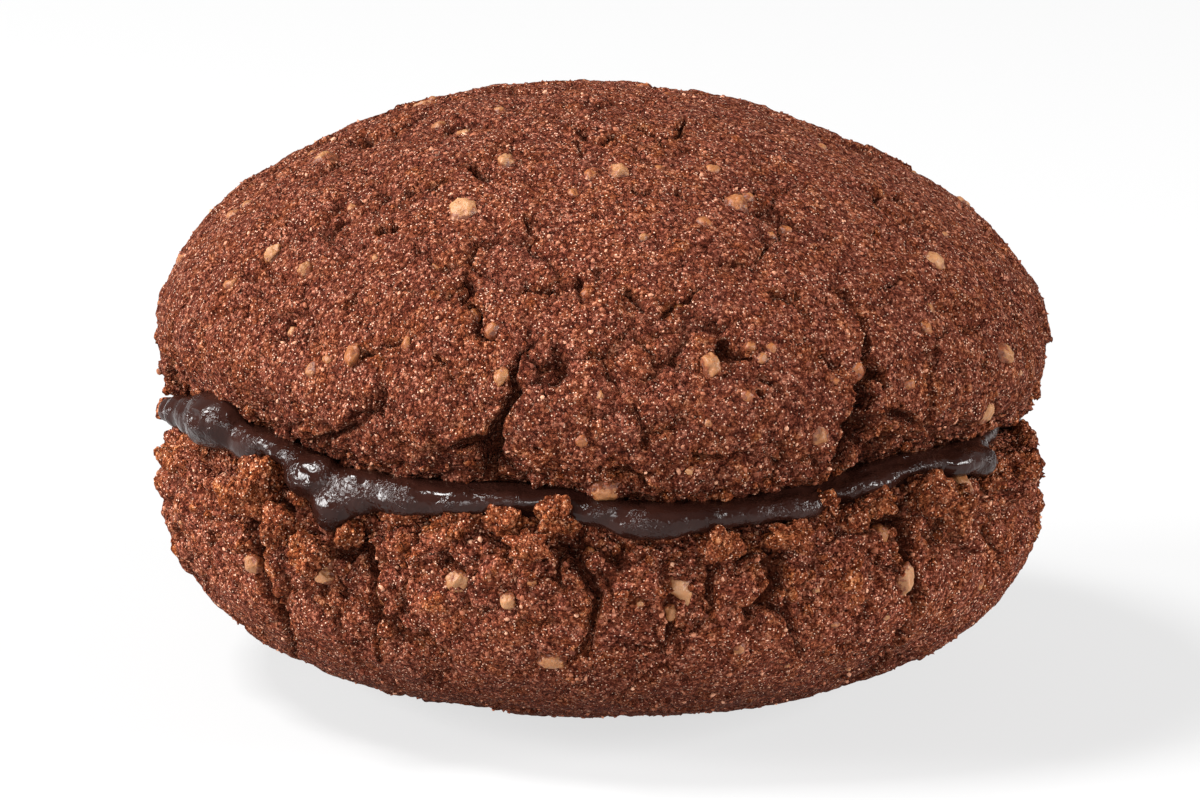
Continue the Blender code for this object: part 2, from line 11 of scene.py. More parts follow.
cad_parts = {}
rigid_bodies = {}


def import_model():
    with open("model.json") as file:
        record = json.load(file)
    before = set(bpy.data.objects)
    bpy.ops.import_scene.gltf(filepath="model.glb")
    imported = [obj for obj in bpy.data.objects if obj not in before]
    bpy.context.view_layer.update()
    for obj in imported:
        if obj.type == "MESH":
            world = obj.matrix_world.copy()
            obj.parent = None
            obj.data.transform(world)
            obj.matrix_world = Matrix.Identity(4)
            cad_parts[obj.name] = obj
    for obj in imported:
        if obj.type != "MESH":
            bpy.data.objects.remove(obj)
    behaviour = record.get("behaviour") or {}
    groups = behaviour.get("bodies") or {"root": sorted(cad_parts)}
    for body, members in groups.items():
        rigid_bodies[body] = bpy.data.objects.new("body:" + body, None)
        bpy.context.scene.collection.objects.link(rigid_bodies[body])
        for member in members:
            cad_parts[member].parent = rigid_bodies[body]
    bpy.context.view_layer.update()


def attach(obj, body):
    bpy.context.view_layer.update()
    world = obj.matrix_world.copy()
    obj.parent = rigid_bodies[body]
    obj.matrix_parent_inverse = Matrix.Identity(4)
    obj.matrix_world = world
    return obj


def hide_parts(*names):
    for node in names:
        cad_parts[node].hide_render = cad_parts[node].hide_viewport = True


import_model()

MM = 0.001

# The same form as the solids have. Azimuth is in degrees round Z, 0 at the front (-Y), and climb is the
# distance in mm along a cookie's skin from the edge of its flat face at the seam.
COOKIE_RADIUS = 27.35 * MM
RIM_TURN = 2.2 * MM
TOP_RISE = 15.0 * MM
TOP_RIM = 4.4 * MM
BOTTOM_RISE = 13.7 * MM
BOTTOM_RIM = 2.3 * MM
SEAM_GAP = 1.2 * MM
FOOT_CUT = 0.4 * MM
TOP_SHOULDER = 1.85
BOTTOM_SHOULDER = 2.45
FLAT_RADIUS = COOKIE_RADIUS - RIM_TURN
SEAM_HEIGHT = BOTTOM_RISE + BOTTOM_RIM + SEAM_GAP / 2 - FOOT_CUT

SEAM_LINE = (
    (-180, 0.2), (-120, -0.3), (-90, -0.2), (-76, 0.8), (-60, 1.5), (-48, 1.3), (-38, 0.4), (-30, 0.0),
    (-12, 0.4), (-4, 0.3), (6, -0.5), (20, -0.3), (32, 0.4), (43, 1.0), (58, 0.7), (90, 0.0), (130, -0.2),
    (180, 0.2),
)
LINE_FADE = ((-12 * MM, -2 * MM), (0.5 * MM, 9 * MM))

SWELL = 0.30 * MM
SWELL_SIZE = 11 * MM
LUMP = 0.14 * MM
LUMP_SIZE = 3.2 * MM
CRUMB = 0.8 * MM
CRUMB_SIZE = 2.4 * MM
RAGGED = 0.45
RAGGED_SIZE = 1.3 * MM
TORN_SIZE = 0.65 * MM
CLOSING = 0.65

# A crack is its width and depth in mm and the (azimuth, climb) points that it runs through.
TOP_CRACKS = (
    (1.25, 1.9, ((-14, 0.8), (-13.8, 2.2), (-13.5, 3.9), (-12.5, 5.0), (-11.2, 6.4), (-10.2, 7.4),
                 (-10.8, 8.3), (-10, 9.8))),
    (0.85, 1.1, ((-14, 4.2), (-16.8, 3.8), (-19.2, 3.3), (-22.5, 2.8))),
    (0.90, 1.0, ((-40, 2.2), (-38, 2.4), (-34.5, 3.3), (-30, 4.7), (-28.5, 6.4))),
    (1.35, 1.9, ((31, 0.8), (31.3, 3.2), (31.3, 4.6), (32.8, 5.8), (33.2, 6.9), (35.5, 7.9),
                 (35.2, 8.8), (37.2, 10.2))),
    (0.90, 0.8, ((32.5, 5.2), (35.8, 4.7), (38.2, 4.8), (42, 3.8), (45.5, 2.9), (50.3, 2.2))),
    (0.75, 0.8, ((-51.8, 2.6), (-52, 5.0), (-54.5, 7.8), (-58, 9.9))),
    (0.70, 0.7, ((45, 3.4), (44.8, 5.9), (45.8, 8.8), (47, 10.4))),
    (0.60, 0.6, ((5.4, 4.8), (5, 5.8), (3.7, 7.5))),
)
BOTTOM_CRACKS = (
    (1.25, 1.7, ((-48.5, 3.4), (-46.8, 5.4), (-46.7, 7.2), (-45, 9.1), (-46.6, 11.5), (-54, 15.0))),
    (0.85, 1.0, ((-38.8, 4.2), (-38, 6.0), (-36, 8.4), (-35, 10.8))),
    (1.05, 1.4, ((-32, 3.0), (-30.2, 3.6), (-28.5, 5.5), (-28.4, 7.6), (-26.5, 8.7), (-23, 9.6))),
    (1.15, 1.4, ((-4.2, 1.6), (-3.2, 2.8), (-2, 4.0), (0.2, 5.4), (-0.5, 6.8), (-1, 8.6), (-4, 10.2))),
    (0.75, 0.8, ((8.9, 5.2), (8.8, 6.6), (8.6, 8.2))),
    (1.00, 1.2, ((21.4, 2.2), (22.5, 4.6), (20.5, 5.9), (24.2, 7.2), (25.6, 8.6), (27.4, 10.2))),
    (1.25, 1.6, ((41.8, 3.4), (42, 6.0), (44.5, 8.0), (43.6, 9.4), (44.6, 11.3), (48.4, 14.0))),
    (0.80, 0.9, ((59, 4.0), (60.4, 5.3), (63.5, 6.8), (68, 9.2))),
)
# Torn hollows: azimuth, climb, radius and depth in mm.
TOP_HOLLOWS = (
    (-13.4, 3.6, 1.2, 1.8), (32.6, 4.4, 1.2, 1.9), (33.8, 6.2, 0.9, 1.7), (15.8, 9.8, 0.7, 0.7),
    (-25.5, 23.6, 0.8, 0.5), (4.5, 13.4, 0.9, 0.4),
)
BOTTOM_HOLLOWS = (
    (-45.5, 3.6, 1.9, 1.5), (-39.5, 4.6, 1.3, 1.2), (-32.5, 3.3, 1.6, 1.8), (2.2, 2.8, 1.4, 0.8),
    (22, 3.4, 1.0, 1.0), (39.6, 2.0, 1.5, 1.6),
)
# Ledges over the seam: the azimuths that they lie between, and their climb and depth in mm.
TOP_LEDGES = (
    (-26, -8, 3.2, 0.35), (1, 13, 1.2, 0.4), (33, 58, 3.0, 0.35), (-44, -34, 2.2, 0.35),
    (118, 150, 2.4, 0.5), (-138, -112, 2.2, 0.4),
)

# Clods: azimuth, climb, width, height and how far they stand off, in mm.
CLODS = (
    (-45.8, 2.5, 2.8, 3.0, 0.7), (-40.8, 3.4, 2.1, 2.4, 0.95), (-36, 4.3, 2.3, 2.6, 0.95),
    (-32.5, 2.9, 1.8, 1.6, -0.6), (-26, 1.2, 2.4, 1.6, -0.1), (-18, 1.2, 2.6, 1.8, -0.1),
    (-12, 1.3, 2.4, 1.7, 0.0), (-5.0, 1.0, 2.3, 2.1, 0.5), (-8.5, 2.8, 2.2, 1.8, 0.2),
    (15, 1.8, 2.6, 1.8, 0.0), (24, 2.0, 2.6, 1.8, 0.0), (29.4, 0.9, 1.6, 1.8, 0.7),
    (32.4, 2.0, 1.7, 1.6, 0.3), (36.8, 1.4, 2.2, 1.8, 0.3), (44.0, 2.0, 2.9, 2.9, 1.0),
    (49.2, 2.9, 2.2, 2.6, 0.2), (-64, 1.2, 2.6, 1.8, -0.1), (62, 1.4, 2.6, 1.8, -0.1),
)
# Nut pieces: azimuth, climb, width and height in mm.
TOP_NUTS = (
    (-25, 19.7, 1.7, 1.9), (-22.5, 25.0, 0.9, 1.2), (-53.2, 29.0, 1.5, 1.2), (58.5, 13.9, 1.6, 1.4),
    (5.2, 24.4, 1.5, 1.5), (28.2, 20.8, 1.6, 1.5), (13.8, 9.0, 1.1, 1.5), (27.2, 4.5, 1.3, 1.3),
    (57, 3.4, 1.1, 1.5), (62, 7.0, 1.2, 1.3), (-56, 13.9, 1.0, 1.2), (-47, 13.5, 1.0, 1.0),
    (1, 1.4, 1.8, 1.3), (-32, 8.5, 0.8, 1.4), (-12, 8.2, 0.8, 1.1),
)
BOTTOM_NUTS = (
    (10.5, 4.9, 1.9, 2.4), (-17.2, 5.1, 1.6, 1.4), (-10.8, 5.9, 0.9, 1.0), (40.8, 5.9, 1.1, 1.8),
    (-5.8, 9.9, 1.6, 1.0), (53, 1.5, 1.5, 1.7), (-48.2, 6.4, 1.2, 1.1), (-36.4, 5.9, 1.5, 1.1),
    (-28.2, 6.6, 1.0, 1.6), (39, 3.7, 1.2, 1.3), (9, 6.5, 0.9, 1.0), (-42.8, 4.2, 1.1, 1.5),
)
NUT_SHOWS = 0.50 * MM
DRAWN_NUT_SHOWS = 0.24 * MM
NUT_SPREAD = 1.12
SHOWN_AZIMUTH = 66
HIDDEN = 360 - 2 * SHOWN_AZIMUTH
DRAWN_CRACKS = 11
DRAWN_NUTS = 13
DRAWN_CLODS = 13

FILLING_RADIUS = 25.9 * MM
FILLING_WAVE = 0.35 * MM
FILLING_EDGE = 0.9 * MM
BARE_STRETCHES = ((63, 92), (-96, -80))
BARE_DEPTH = 1.3 * MM
BARE_FADE = 4
CLOD_ROUGH = 0.45
NUT_ROUGH = 0.14
DROP_ROUGH = 0.10
# Drops and runs: azimuth, distance from the middle, height over the seam, and half their size in mm outward,
# along the seam and upward.
DROPS = (
    (-76, 26.6, 1.0, 0.9, 1.1, 0.8), (-70, 26.6, 1.5, 1.1, 1.5, 1.05), (-65, 26.5, 1.75, 1.3, 1.8, 1.25),
    (-58.5, 26.4, 2.1, 1.9, 2.6, 1.75), (-51.5, 26.3, 1.3, 0.8, 2.0, 1.05),
    (-47.5, 26.2, 1.75, 0.9, 1.8, 0.6), (-43.8, 26.3, 1.4, 0.9, 1.6, 0.65),
    (-38.5, 26.3, 0.45, 1.5, 2.0, 1.35), (-34.8, 26.7, -0.95, 1.1, 1.5, 1.15),
    (-35, 26.8, -1.6, 0.9, 1.0, 0.85), (-31.5, 26.4, -0.3, 1.1, 1.4, 1.0),
    (-31.3, 26.1, 0.2, 1.3, 2.2, 1.2), (-25.5, 26.1, 0.08, 1.3, 2.6, 1.15),
    (-22, 26.0, 0.12, 1.2, 2.2, 1.0), (-18.5, 26.0, 0.25, 1.1, 2.4, 0.85),
    (-12.3, 25.9, 0.45, 1.0, 2.8, 0.65), (-6, 25.8, 0.6, 0.8, 2.6, 0.45), (0.3, 26.0, 0.0, 1.1, 2.4, 0.85),
    (6.5, 26.3, -0.47, 1.2, 2.8, 1.1), (12.5, 26.1, -0.35, 1.1, 2.8, 0.9),
    (18.9, 26.0, -0.2, 1.0, 2.8, 0.75), (25.5, 26.1, -0.1, 1.1, 2.2, 0.8),
    (32.4, 25.9, 0.45, 0.9, 2.2, 0.55), (36.5, 26.0, 0.75, 1.0, 2.2, 0.6), (41, 25.9, 1.1, 0.9, 2.0, 0.45),
    (46.9, 25.9, 1.2, 0.9, 2.0, 0.5), (53.5, 26.1, 0.85, 1.2, 2.2, 0.85), (58, 26.2, 0.5, 1.1, 1.4, 0.95),
    (102, 25.4, -0.2, 1.0, 2.4, 0.9), (131, 26.3, -0.9, 1.4, 2.0, 1.8), (174, 26.0, 0.1, 1.2, 3.2, 1.1),
    (-141, 26.1, -0.2, 1.3, 2.4, 1.4), (-112, 25.9, 0.5, 1.1, 2.8, 1.0),
)

# Burst bubbles in the ganache, and one that stands out: azimuth, height over the seam, size and depth in mm.
BUBBLES = ((-57.8, 2.5, 0.55, 0.22), (-60.6, 2.2, 0.35, 0.15), (-47.9, 0.75, 0.3, -0.2),
           (-39.5, 0.9, 0.3, 0.1))

# What only the looks have: thin fissures between plates of crust, small nut bits, crumbs and loose grains.
# A fissure is its width and depth in mm and the (azimuth, climb) points that it runs through.
TOP_FISSURES = (
    (0.9, 0.8, ((-39, 21.1), (-37.2, 21), (-35.8, 21.3), (-34.2, 21.8), (-33.8, 22.2))),
    (0.9, 0.9, ((-30.2, 24.2), (-27, 23.5), (-24.5, 23.3), (-22.8, 23.6), (-21, 23.6))),
    (0.8, 0.8, ((-38, 17.4), (-36.5, 17.1), (-35.2, 17.3), (-35.2, 17.8))),
    (0.6, 0.5, ((-54.2, 12.6), (-51.8, 12.2), (-50, 11.6))),
    (0.7, 0.8, ((-35.5, 11.6), (-34.8, 11.9), (-34.8, 12.4), (-34.5, 12.8))),
    (0.7, 0.6, ((-30.8, 8.8), (-29.2, 8.9), (-28.2, 9.3), (-26.5, 9.7), (-26, 9.9))),
    (0.6, 0.5, ((-53.8, 10.3), (-52.2, 9.3), (-51.8, 8.5))),
    (0.6, 0.6, ((-62.8, 8.1), (-60.3, 6.6), (-61.3, 4.4))),
    (0.8, 0.9, ((-19, 14.4), (-18, 13.8), (-18.5, 13.3), (-18.8, 12.5))),
    (0.9, 0.9, ((-17.5, 12.5), (-16.2, 12.1), (-15.8, 11.4), (-16.2, 11), (-14.8, 10.7), (-13.5, 10.6))),
    (1.0, 1.0, ((-6.2, 30.4), (-1.8, 28.6), (1.5, 28.1), (4.5, 28.6), (7, 29.4))),
    (1.0, 1.1, ((19, 30.4), (19.8, 29.1), (23.2, 28.5), (27.2, 28.3), (33.2, 29.1), (36, 30.1), (44.5, 31))),
    (0.7, 0.7, ((8, 22.5), (9, 22), (11.5, 22.7))),
    (0.6, 0.6, ((17, 22.2), (17.8, 21.5), (18.5, 21.1))),
    (0.7, 0.6, ((-12.2, 19.3), (-11, 18.3))),
    (0.6, 0.5, ((0.2, 15.8), (-0.2, 14.9))),
    (0.9, 0.9, ((-10.5, 13.9), (-8.2, 14), (-6.8, 14.2), (-5.5, 14))),
    (0.7, 0.7, ((-2.5, 15), (-2.5, 13.6), (-2.2, 13.1))),
    (0.7, 0.8, ((4, 14), (5, 13.5), (5.8, 13.1), (6.2, 12.7))),
    (0.6, 0.6, ((8.8, 12.5), (10.2, 13), (12.5, 13.2), (13.2, 13.7), (14.5, 14))),
    (0.6, 0.6, ((33.8, 21.5), (35.2, 21.2))),
    (0.8, 0.7, ((64.8, 19.7), (60.5, 18.8), (60.5, 18.1), (61.8, 17.4), (64.2, 16.9))),
    (0.6, 0.6, ((36.2, 16.5), (37.2, 16.2), (38.2, 16.1), (38.8, 15.3))),
    (0.8, 0.8, ((36, 13.3), (37, 12.6), (37.5, 11.8), (38.5, 11.4))),
    (0.8, 1.0, ((38, 11.3), (36.8, 10.3), (36.5, 9.6))),
    (0.7, 0.7, ((24.8, 13.3), (26.5, 13), (27.5, 12.7), (28.5, 11.9), (29, 11.5))),
    (0.5, 0.5, ((57.2, 11.4), (58.8, 10.4))),
    (0.5, 0.5, ((50.5, 7.5), (51, 6.5), (51, 5.7))),
    (0.9, 1.0, ((15.2, 10.2), (16.5, 10.3), (16.8, 9.8), (17.8, 9.5), (18.8, 9.4))),
    (0.5, 0.5, ((20, 8.1), (21.5, 7.7), (22.8, 7.2))),
    (0.7, 0.7, ((29.8, 9.2), (30.8, 8.5))),
    (0.6, 0.6, ((11.2, 4.2), (13.2, 4), (15, 4), (16.8, 4), (18.5, 4))),
    (0.8, 0.8, ((1, 2.9), (3.2, 3), (5, 2.9), (6, 3.1))),
    (0.8, 0.9, ((5.2, 2.7), (6, 2))),
    (0.5, 0.5, ((6.5, 5.4), (8.5, 5.7), (9, 6.1))),
    (0.7, 0.7, ((-40.8, 5.6), (-40.2, 4.7), (-39.5, 4.6))),
    (0.5, 0.5, ((-20.8, 9.2), (-19.5, 8.7), (-18, 7.7), (-17, 7.1))),
    (0.9, 1.0, ((-12.5, 2.8), (-9.8, 1.3), (-8.2, 0.3))),
    (0.6, 0.6, ((68.5, 5.4), (69.2, 4.2))),
    (0.5, 0.5, ((56.8, 6.6), (57.5, 5.5))),
    (1.1, 1.2, ((36, 8), (37, 7.5), (37.5, 6.9))),
    (0.9, 0.9, ((39.5, 4.8), (41.2, 4.2), (43.5, 3.3))),
)
BOTTOM_FISSURES = (
    (1.0, 1.1, ((-49.5, 3.9), (-49, 4.7), (-49, 5.7))),
    (0.9, 1.0, ((-45.8, 6.5), (-46.5, 7.6), (-46, 8.9), (-46, 10.5), (-49.5, 13.1))),
    (0.7, 0.7, ((-38.5, 6.4), (-37, 5.9))),
    (0.8, 0.7, ((-28.5, 7.4), (-29.5, 8.7), (-30, 10.4), (-30, 11.5))),
    (0.7, 0.7, ((-25.5, 8), (-24.8, 8.6), (-23.5, 9))),
    (0.6, 0.6, ((-21.5, 8.8), (-20.5, 9.6), (-20, 10.1))),
    (0.9, 0.9, ((-19.2, 4.1), (-18.2, 3.9), (-17, 4.4))),
    (0.6, 0.5, ((-14, 6.8), (-13.2, 6.6))),
    (0.8, 0.8, ((-11, 3.5), (-10, 3.3))),
    (1.0, 1.1, ((-5, 2.5), (-4.5, 3.3), (-5, 4.5), (-4.2, 5))),
    (0.8, 0.9, ((-1.8, 8.7), (-2.8, 9.3))),
    (1.1, 1.1, ((-2.5, 1.1), (-1.5, 2.3))),
    (0.6, 0.6, ((-9.2, 7.2), (-7.3, 7.2), (-6.2, 7))),
    (0.9, 1.0, ((8.8, 6.9), (8.8, 8), (8.5, 8.7))),
    (0.8, 0.9, ((13.8, 3.4), (13.8, 4.7), (14, 5.9), (13.2, 6.7), (11.8, 7.5))),
    (0.9, 0.9, ((18, 1.8), (18.5, 2.7), (17, 3.3))),
    (1.1, 1.2, ((20.8, 3.5), (22.2, 4.3), (22.5, 5), (21, 5.9), (18.5, 6.6))),
    (0.7, 0.7, ((23.2, 5.8), (24.2, 7.1), (25.2, 8.6))),
    (0.6, 0.5, ((33, 11.1), (37, 11.6), (41.5, 11.6))),
    (1.0, 1.1, ((43, 5.2), (44, 6.5), (44.2, 8), (43, 8.9), (43.8, 10.3))),
    (0.6, 0.7, ((45.2, 3.9), (47.5, 5))),
    (0.6, 0.6, ((61.3, 5.3), (62, 6.5), (67.8, 8))),
    (1.2, 1.3, ((39.5, 1.4), (39.8, 2.8))),
    (0.5, 0.4, ((3.5, 10.9), (6, 11), (7.5, 11.6))),
    (0.7, 0.8, ((-34, 6.4), (-33.5, 7.2), (-31.8, 7.4))),
    (0.6, 0.5, ((-22.2, 12.2), (-23.2, 14.3))),
)
DRAWN_FISSURES = 55
FISSURE_WIDTH = 0.72

# How toasted each of the nuts in TOP_NUTS and BOTTOM_NUTS is, from 0, cream, to 1, orange brown.
TOP_TOAST = (0.02, 0.2, 0.35, 0.12, 0.3, 0.7, 0.45, 0.55, 0.2, 0.35, 0.15, 0.45, 0.55, 0.8, 0.45)
BOTTOM_TOAST = (0.12, 0.3, 0.15, 0.15, 0.5, 0.4, 0.5, 0.35, 0.7, 0.6, 0.5, 0.35)

# Small nut bits: azimuth, climb, size in mm and toast.
TOP_BITS = (
    (-66.5, 28.5, 1.0, 0.4), (-76.5, 14.8, 1.1, 0.6), (-75.8, 15.9, 0.9, 0.3), (-60.3, 11.1, 1.1, 0.6),
    (-44, 9.4, 0.6, 0.1), (-35, 15, 0.6, 0.35), (-25, 15.2, 0.9, 0.8), (-37.8, 7.2, 0.9, 0.5),
    (-35.8, 8.1, 0.8, 0.6), (-17.2, 12.2, 0.8, 0.9), (-14, 11.1, 0.9, 0.8), (-4.8, 22.3, 0.9, 0.75),
    (-1.2, 24.3, 0.9, 0.8), (7.8, 18.3, 0.7, 0.4), (15.8, 24.8, 0.9, 0.7), (29.2, 24.4, 1.0, 0.6),
    (31.8, 21.5, 0.8, 0.6), (35, 18.6, 0.9, 0.85), (30.8, 18, 0.7, 0.7), (72.8, 24.4, 0.8, 0.35),
    (50.3, 11.1, 0.8, 0.45), (47.5, 10, 0.8, 0.75), (19.2, 10, 0.7, 0.65), (20.5, 9.3, 0.7, 0.6),
    (22, 9.9, 0.9, 0.8), (34, 8.1, 1.0, 0.9), (30, 7.7, 0.6, 0.8), (41.2, 6.7, 0.9, 0.7),
    (64.8, 5.5, 0.5, 0.3), (68, 15.2, 0.6, 0.35), (0, 7.4, 0.5, 0.45), (12.8, 5.9, 0.55, 0.55),
    (17.8, 7.2, 0.8, 0.75), (-1.5, 13.9, 0.8, 0.9), (11.5, 13.1, 0.9, 0.95), (-55.5, 31.9, 0.9, 0.5),
    (10.8, 3.3, 0.6, 0.1), (-2.2, 4.6, 0.7, 0.9), (19, 19.2, 1.0, 0.75), (-48.2, 18.7, 0.7, 0.5),
    (-25, 9.8, 0.9, 0.7),
)
BOTTOM_BITS = (
    (-66.2, 2, 0.6, 0.3), (38.8, 8, 0.5, 0.35), (18, 8.9, 0.8, 0.55), (26.3, 11, 0.7, 0.5),
    (31, 7.9, 0.7, 0.65), (27.5, 5.5, 0.5, 0.25), (38.8, 13, 0.35, 0.0), (-8, 4.8, 0.6, 0.7),
    (-1, 2.5, 0.7, 0.7), (-66.8, 5.8, 0.5, 0.2), (-36, 5.3, 1.0, 0.35), (70, 3.8, 0.5, 0.6),
    (5.2, 5.6, 0.5, 0.15), (58, 7.8, 0.7, 0.6),
)
DRAWN_BITS = 45
BITS_AZIMUTH = 76

# All that sets the two cookies apart. Side is 1 above the seam and -1 below it.
Cookie = namedtuple("Cookie", "side seed rise rim shoulder lean crumbly cracks hollows ledges "
                    "fissures nuts toasts bits")
TOP = Cookie(1, 5, TOP_RISE, TOP_RIM, TOP_SHOULDER, -0.8 * MM, 0.35, TOP_CRACKS, TOP_HOLLOWS, TOP_LEDGES,
             TOP_FISSURES, TOP_NUTS, TOP_TOAST, TOP_BITS)
BOTTOM = Cookie(-1, 11, BOTTOM_RISE, BOTTOM_RIM, BOTTOM_SHOULDER, 0.0, 1.0, BOTTOM_CRACKS, BOTTOM_HOLLOWS, (),
                BOTTOM_FISSURES, BOTTOM_NUTS, BOTTOM_TOAST, BOTTOM_BITS)

# The crust's mesh and its finer relief.
SKIN_ANGLE = math.radians(118)
FINE_LEVEL = 8
CRUST_TRIANGLES = 195000
GANACHE_TRIANGLES = 90000
FRONT_DENSITY = 0.3
PLATE_SIZE = 4.4 * MM
CLUSTER_SIZE = 1.5 * MM
GRAIN_SIZE = 0.62 * MM
PLATE_STEP = 0.30 * MM
FISSURE = 0.34 * MM
CLUSTER = 0.25 * MM
CLUSTER_STEP = 0.16 * MM
GRAIN = 0.10 * MM
WARP = 0.8
WARP_SIZE = 2.0 * MM
FINE_WARP = 0.25
FINE_WARP_SIZE = 0.7 * MM
PATCH_SIZE = 6 * MM
WORN_SIZE = 2.6 * MM
JAGGED = 2.6
JAGGED_SIZE = 0.60 * MM
LIP = 0.12 * MM
# The crack depth at which its painted shade is full.
DARK_DEPTH = 0.8 * MM

# Nut pieces, clods, and the disc of ganache with its melted look and its wrinkles.
NUT_FACETS = 10
FACET_FROM = (0.68, 0.95)
CLOD_GRAIN_SIZE = 0.60 * MM
CLOD_GRAIN = 0.16 * MM
CLOD_GAP = 0.09 * MM
CLOD_NOISES = ((0.36 * MM, 1.2 * MM), (0.16 * MM, 0.42 * MM))
DISC_SIDES = 288
DISC_RINGS = 32
DISC_SWELL = 0.5 * MM
MELT_CELL = 0.2 * MM
MELT_ROUNDS = 14
WRINKLED_FROM = 22 * MM
WRINKLE_NOISES = ((2.0 * MM, 4, 0.09), (0.5 * MM, 9, 0.035))

# Loose crumbs and the crust's own grains. Sizes and reach from the seam are in mm, and stand is how far their
# middles stand off the crust, as a share of their radius.
Loose = namedtuple("Loose", "count seed small large skew rim_share stand reach")
LOOSE_CRUMBS = Loose(850, 71, 0.3, 0.8, 2.0, 0.85, -0.35, 5.0)
LOOSE_GRAINS = Loose(9500, 81, 0.14, 0.34, 1.6, 0.25, -0.35, 7.0)

# The studio: each light's name, place in metres, size in metres and power in watts.
LIGHTS = (
    ("key", (-0.50, -0.08, 0.85), 0.26, 12.6),
    ("left", (-0.92, -0.24, 0.34), 0.36, 16.6),
    ("right", (0.92, -0.20, 0.36), 0.32, 10.5),
    ("front", (0.02, -0.95, 0.14), 0.36, 5.4),
)
SURROUND = 0.25
FLOOR_TONE = (0.16, 0.16, 0.16, 1)
FLOOR_GLOW = 0.68
FLOOR_HALF = 3

# The camera is where the photo was taken from, and leans as the photo does.
CAMERA_LENS = 156.4
CAMERA_DISTANCE = 0.320
CAMERA_ELEVATION = math.radians(12.6)
CAMERA_ROLL = 0.018
CAMERA_TARGET = (-0.075 * MM, 0, SEAM_HEIGHT + 0.69 * MM)


def noise_at(places, size, shift):
    move = Vector((shift, shift, shift))
    return np.array([noise.noise(Vector(p) + move) for p in (places / size).tolist()])


def crumbs_at(places, size):
    nearest = np.array([noise.voronoi(Vector(p))[0][0] for p in (places / size).tolist()])
    return 1 - np.clip(nearest / 0.7, 0, 1) ** 2


def cells_at(places, size):
    """The distances to the two nearest cell middles, and a random number for the nearest cell."""
    near, gap, pick = [], [], []
    for p in (places / size).tolist():
        distances, points = noise.voronoi(Vector(p))
        near.append(distances[0])
        gap.append(distances[1] - distances[0])
        pick.append(noise.cell(points[0] * 37))
    return np.array(near), np.array(gap), np.array(pick)


def warp_at(places, size, seed, shifts):
    return np.stack([noise_at(places, size, seed + shift) for shift in shifts], axis=-1)


def smooth_step(values, start, end):
    t = np.clip((values - start) / (end - start), 0, 1)
    return t * t * (3 - 2 * t)


def seam_line(azimuth):
    around, rise = zip(*SEAM_LINE)
    return np.interp(np.degrees(azimuth), around, rise) * MM


def line_weight(climb):
    return smooth_step(climb, *LINE_FADE[0]) * (1 - smooth_step(climb, *LINE_FADE[1]))


def profile(cookie):
    turn = np.linspace(0, math.pi / 2, 120)
    across = np.clip(np.cos(turn[1:]), 0, 1) ** (2 / cookie.shoulder)
    upward = np.sin(turn[1:]) ** (2 / cookie.shoulder)
    rim_radius = FLAT_RADIUS + RIM_TURN * np.sin(turn)
    rim_height = cookie.rim * (1 - np.cos(turn))
    radius = np.concatenate([[0], rim_radius, COOKIE_RADIUS * across])
    height = np.concatenate([[0], rim_height, cookie.rim + cookie.rise * upward])
    climb = np.concatenate([[0], np.cumsum(np.hypot(np.diff(radius), np.diff(height)))]) - FLAT_RADIUS
    return climb, radius, height


def skin(cookie, azimuth, climb):
    at, radius, height = profile(cookie)
    r = np.interp(climb, at, radius)
    h = np.interp(climb, at, height)
    out = np.interp(climb, at, np.gradient(height, at))
    down = np.interp(climb, at, np.gradient(radius, at))
    lean = cookie.lean * (h / (cookie.rim + cookie.rise)) ** 2
    seam = SEAM_HEIGHT + cookie.side * SEAM_GAP / 2 + seam_line(azimuth) * line_weight(climb)
    places = np.stack([r * np.sin(azimuth) + lean, -r * np.cos(azimuth), seam + cookie.side * h], axis=-1)
    normals = np.stack([out * np.sin(azimuth), -out * np.cos(azimuth), -cookie.side * down], axis=-1)
    return places, normals / np.linalg.norm(normals, axis=-1, keepdims=True)


def skin_place(cookie, azimuth_deg, climb_mm):
    places, normals = skin(cookie, np.array([math.radians(azimuth_deg)]), np.array([climb_mm * MM]))
    return Vector(places[0]), Vector(normals[0])


def crack_sink(cookie, places, edges, width, depth, points, closing=CLOSING):
    """Which places a crack reaches, how far it sinks them, and how near its edges they are, from 0 to 1."""
    line = np.array([skin_place(cookie, *point)[0] for point in points])
    reach = np.linalg.norm(np.diff(line, axis=0), axis=1)
    share = np.concatenate([[0], np.cumsum(reach)]) / reach.sum()
    pad = 2 * width * MM
    near = np.flatnonzero(np.all((places > line.min(0) - pad) & (places < line.max(0) + pad), axis=1))
    spots, rough = places[near], 1 + RAGGED * edges[near]
    sink = np.zeros(len(near))
    lip = np.zeros(len(near))
    for start, end, share_from, share_to in zip(line, line[1:], share, share[1:]):
        step = end - start
        t = np.clip((spots - start) @ step / (step @ step), 0, 1)
        away = np.linalg.norm(spots - start - t[:, None] * step, axis=1) * rough
        open_share = 1 - closing * (share_from + t * (share_to - share_from))
        across = away / (width / 2 * MM * open_share)
        sink = np.maximum(sink, depth * MM * open_share * np.clip(1 - across**2, 0, 1))
        lip = np.maximum(lip, open_share * np.clip(1 - np.abs(across - 1.35) / 0.6, 0, 1))
    return near, sink, lip


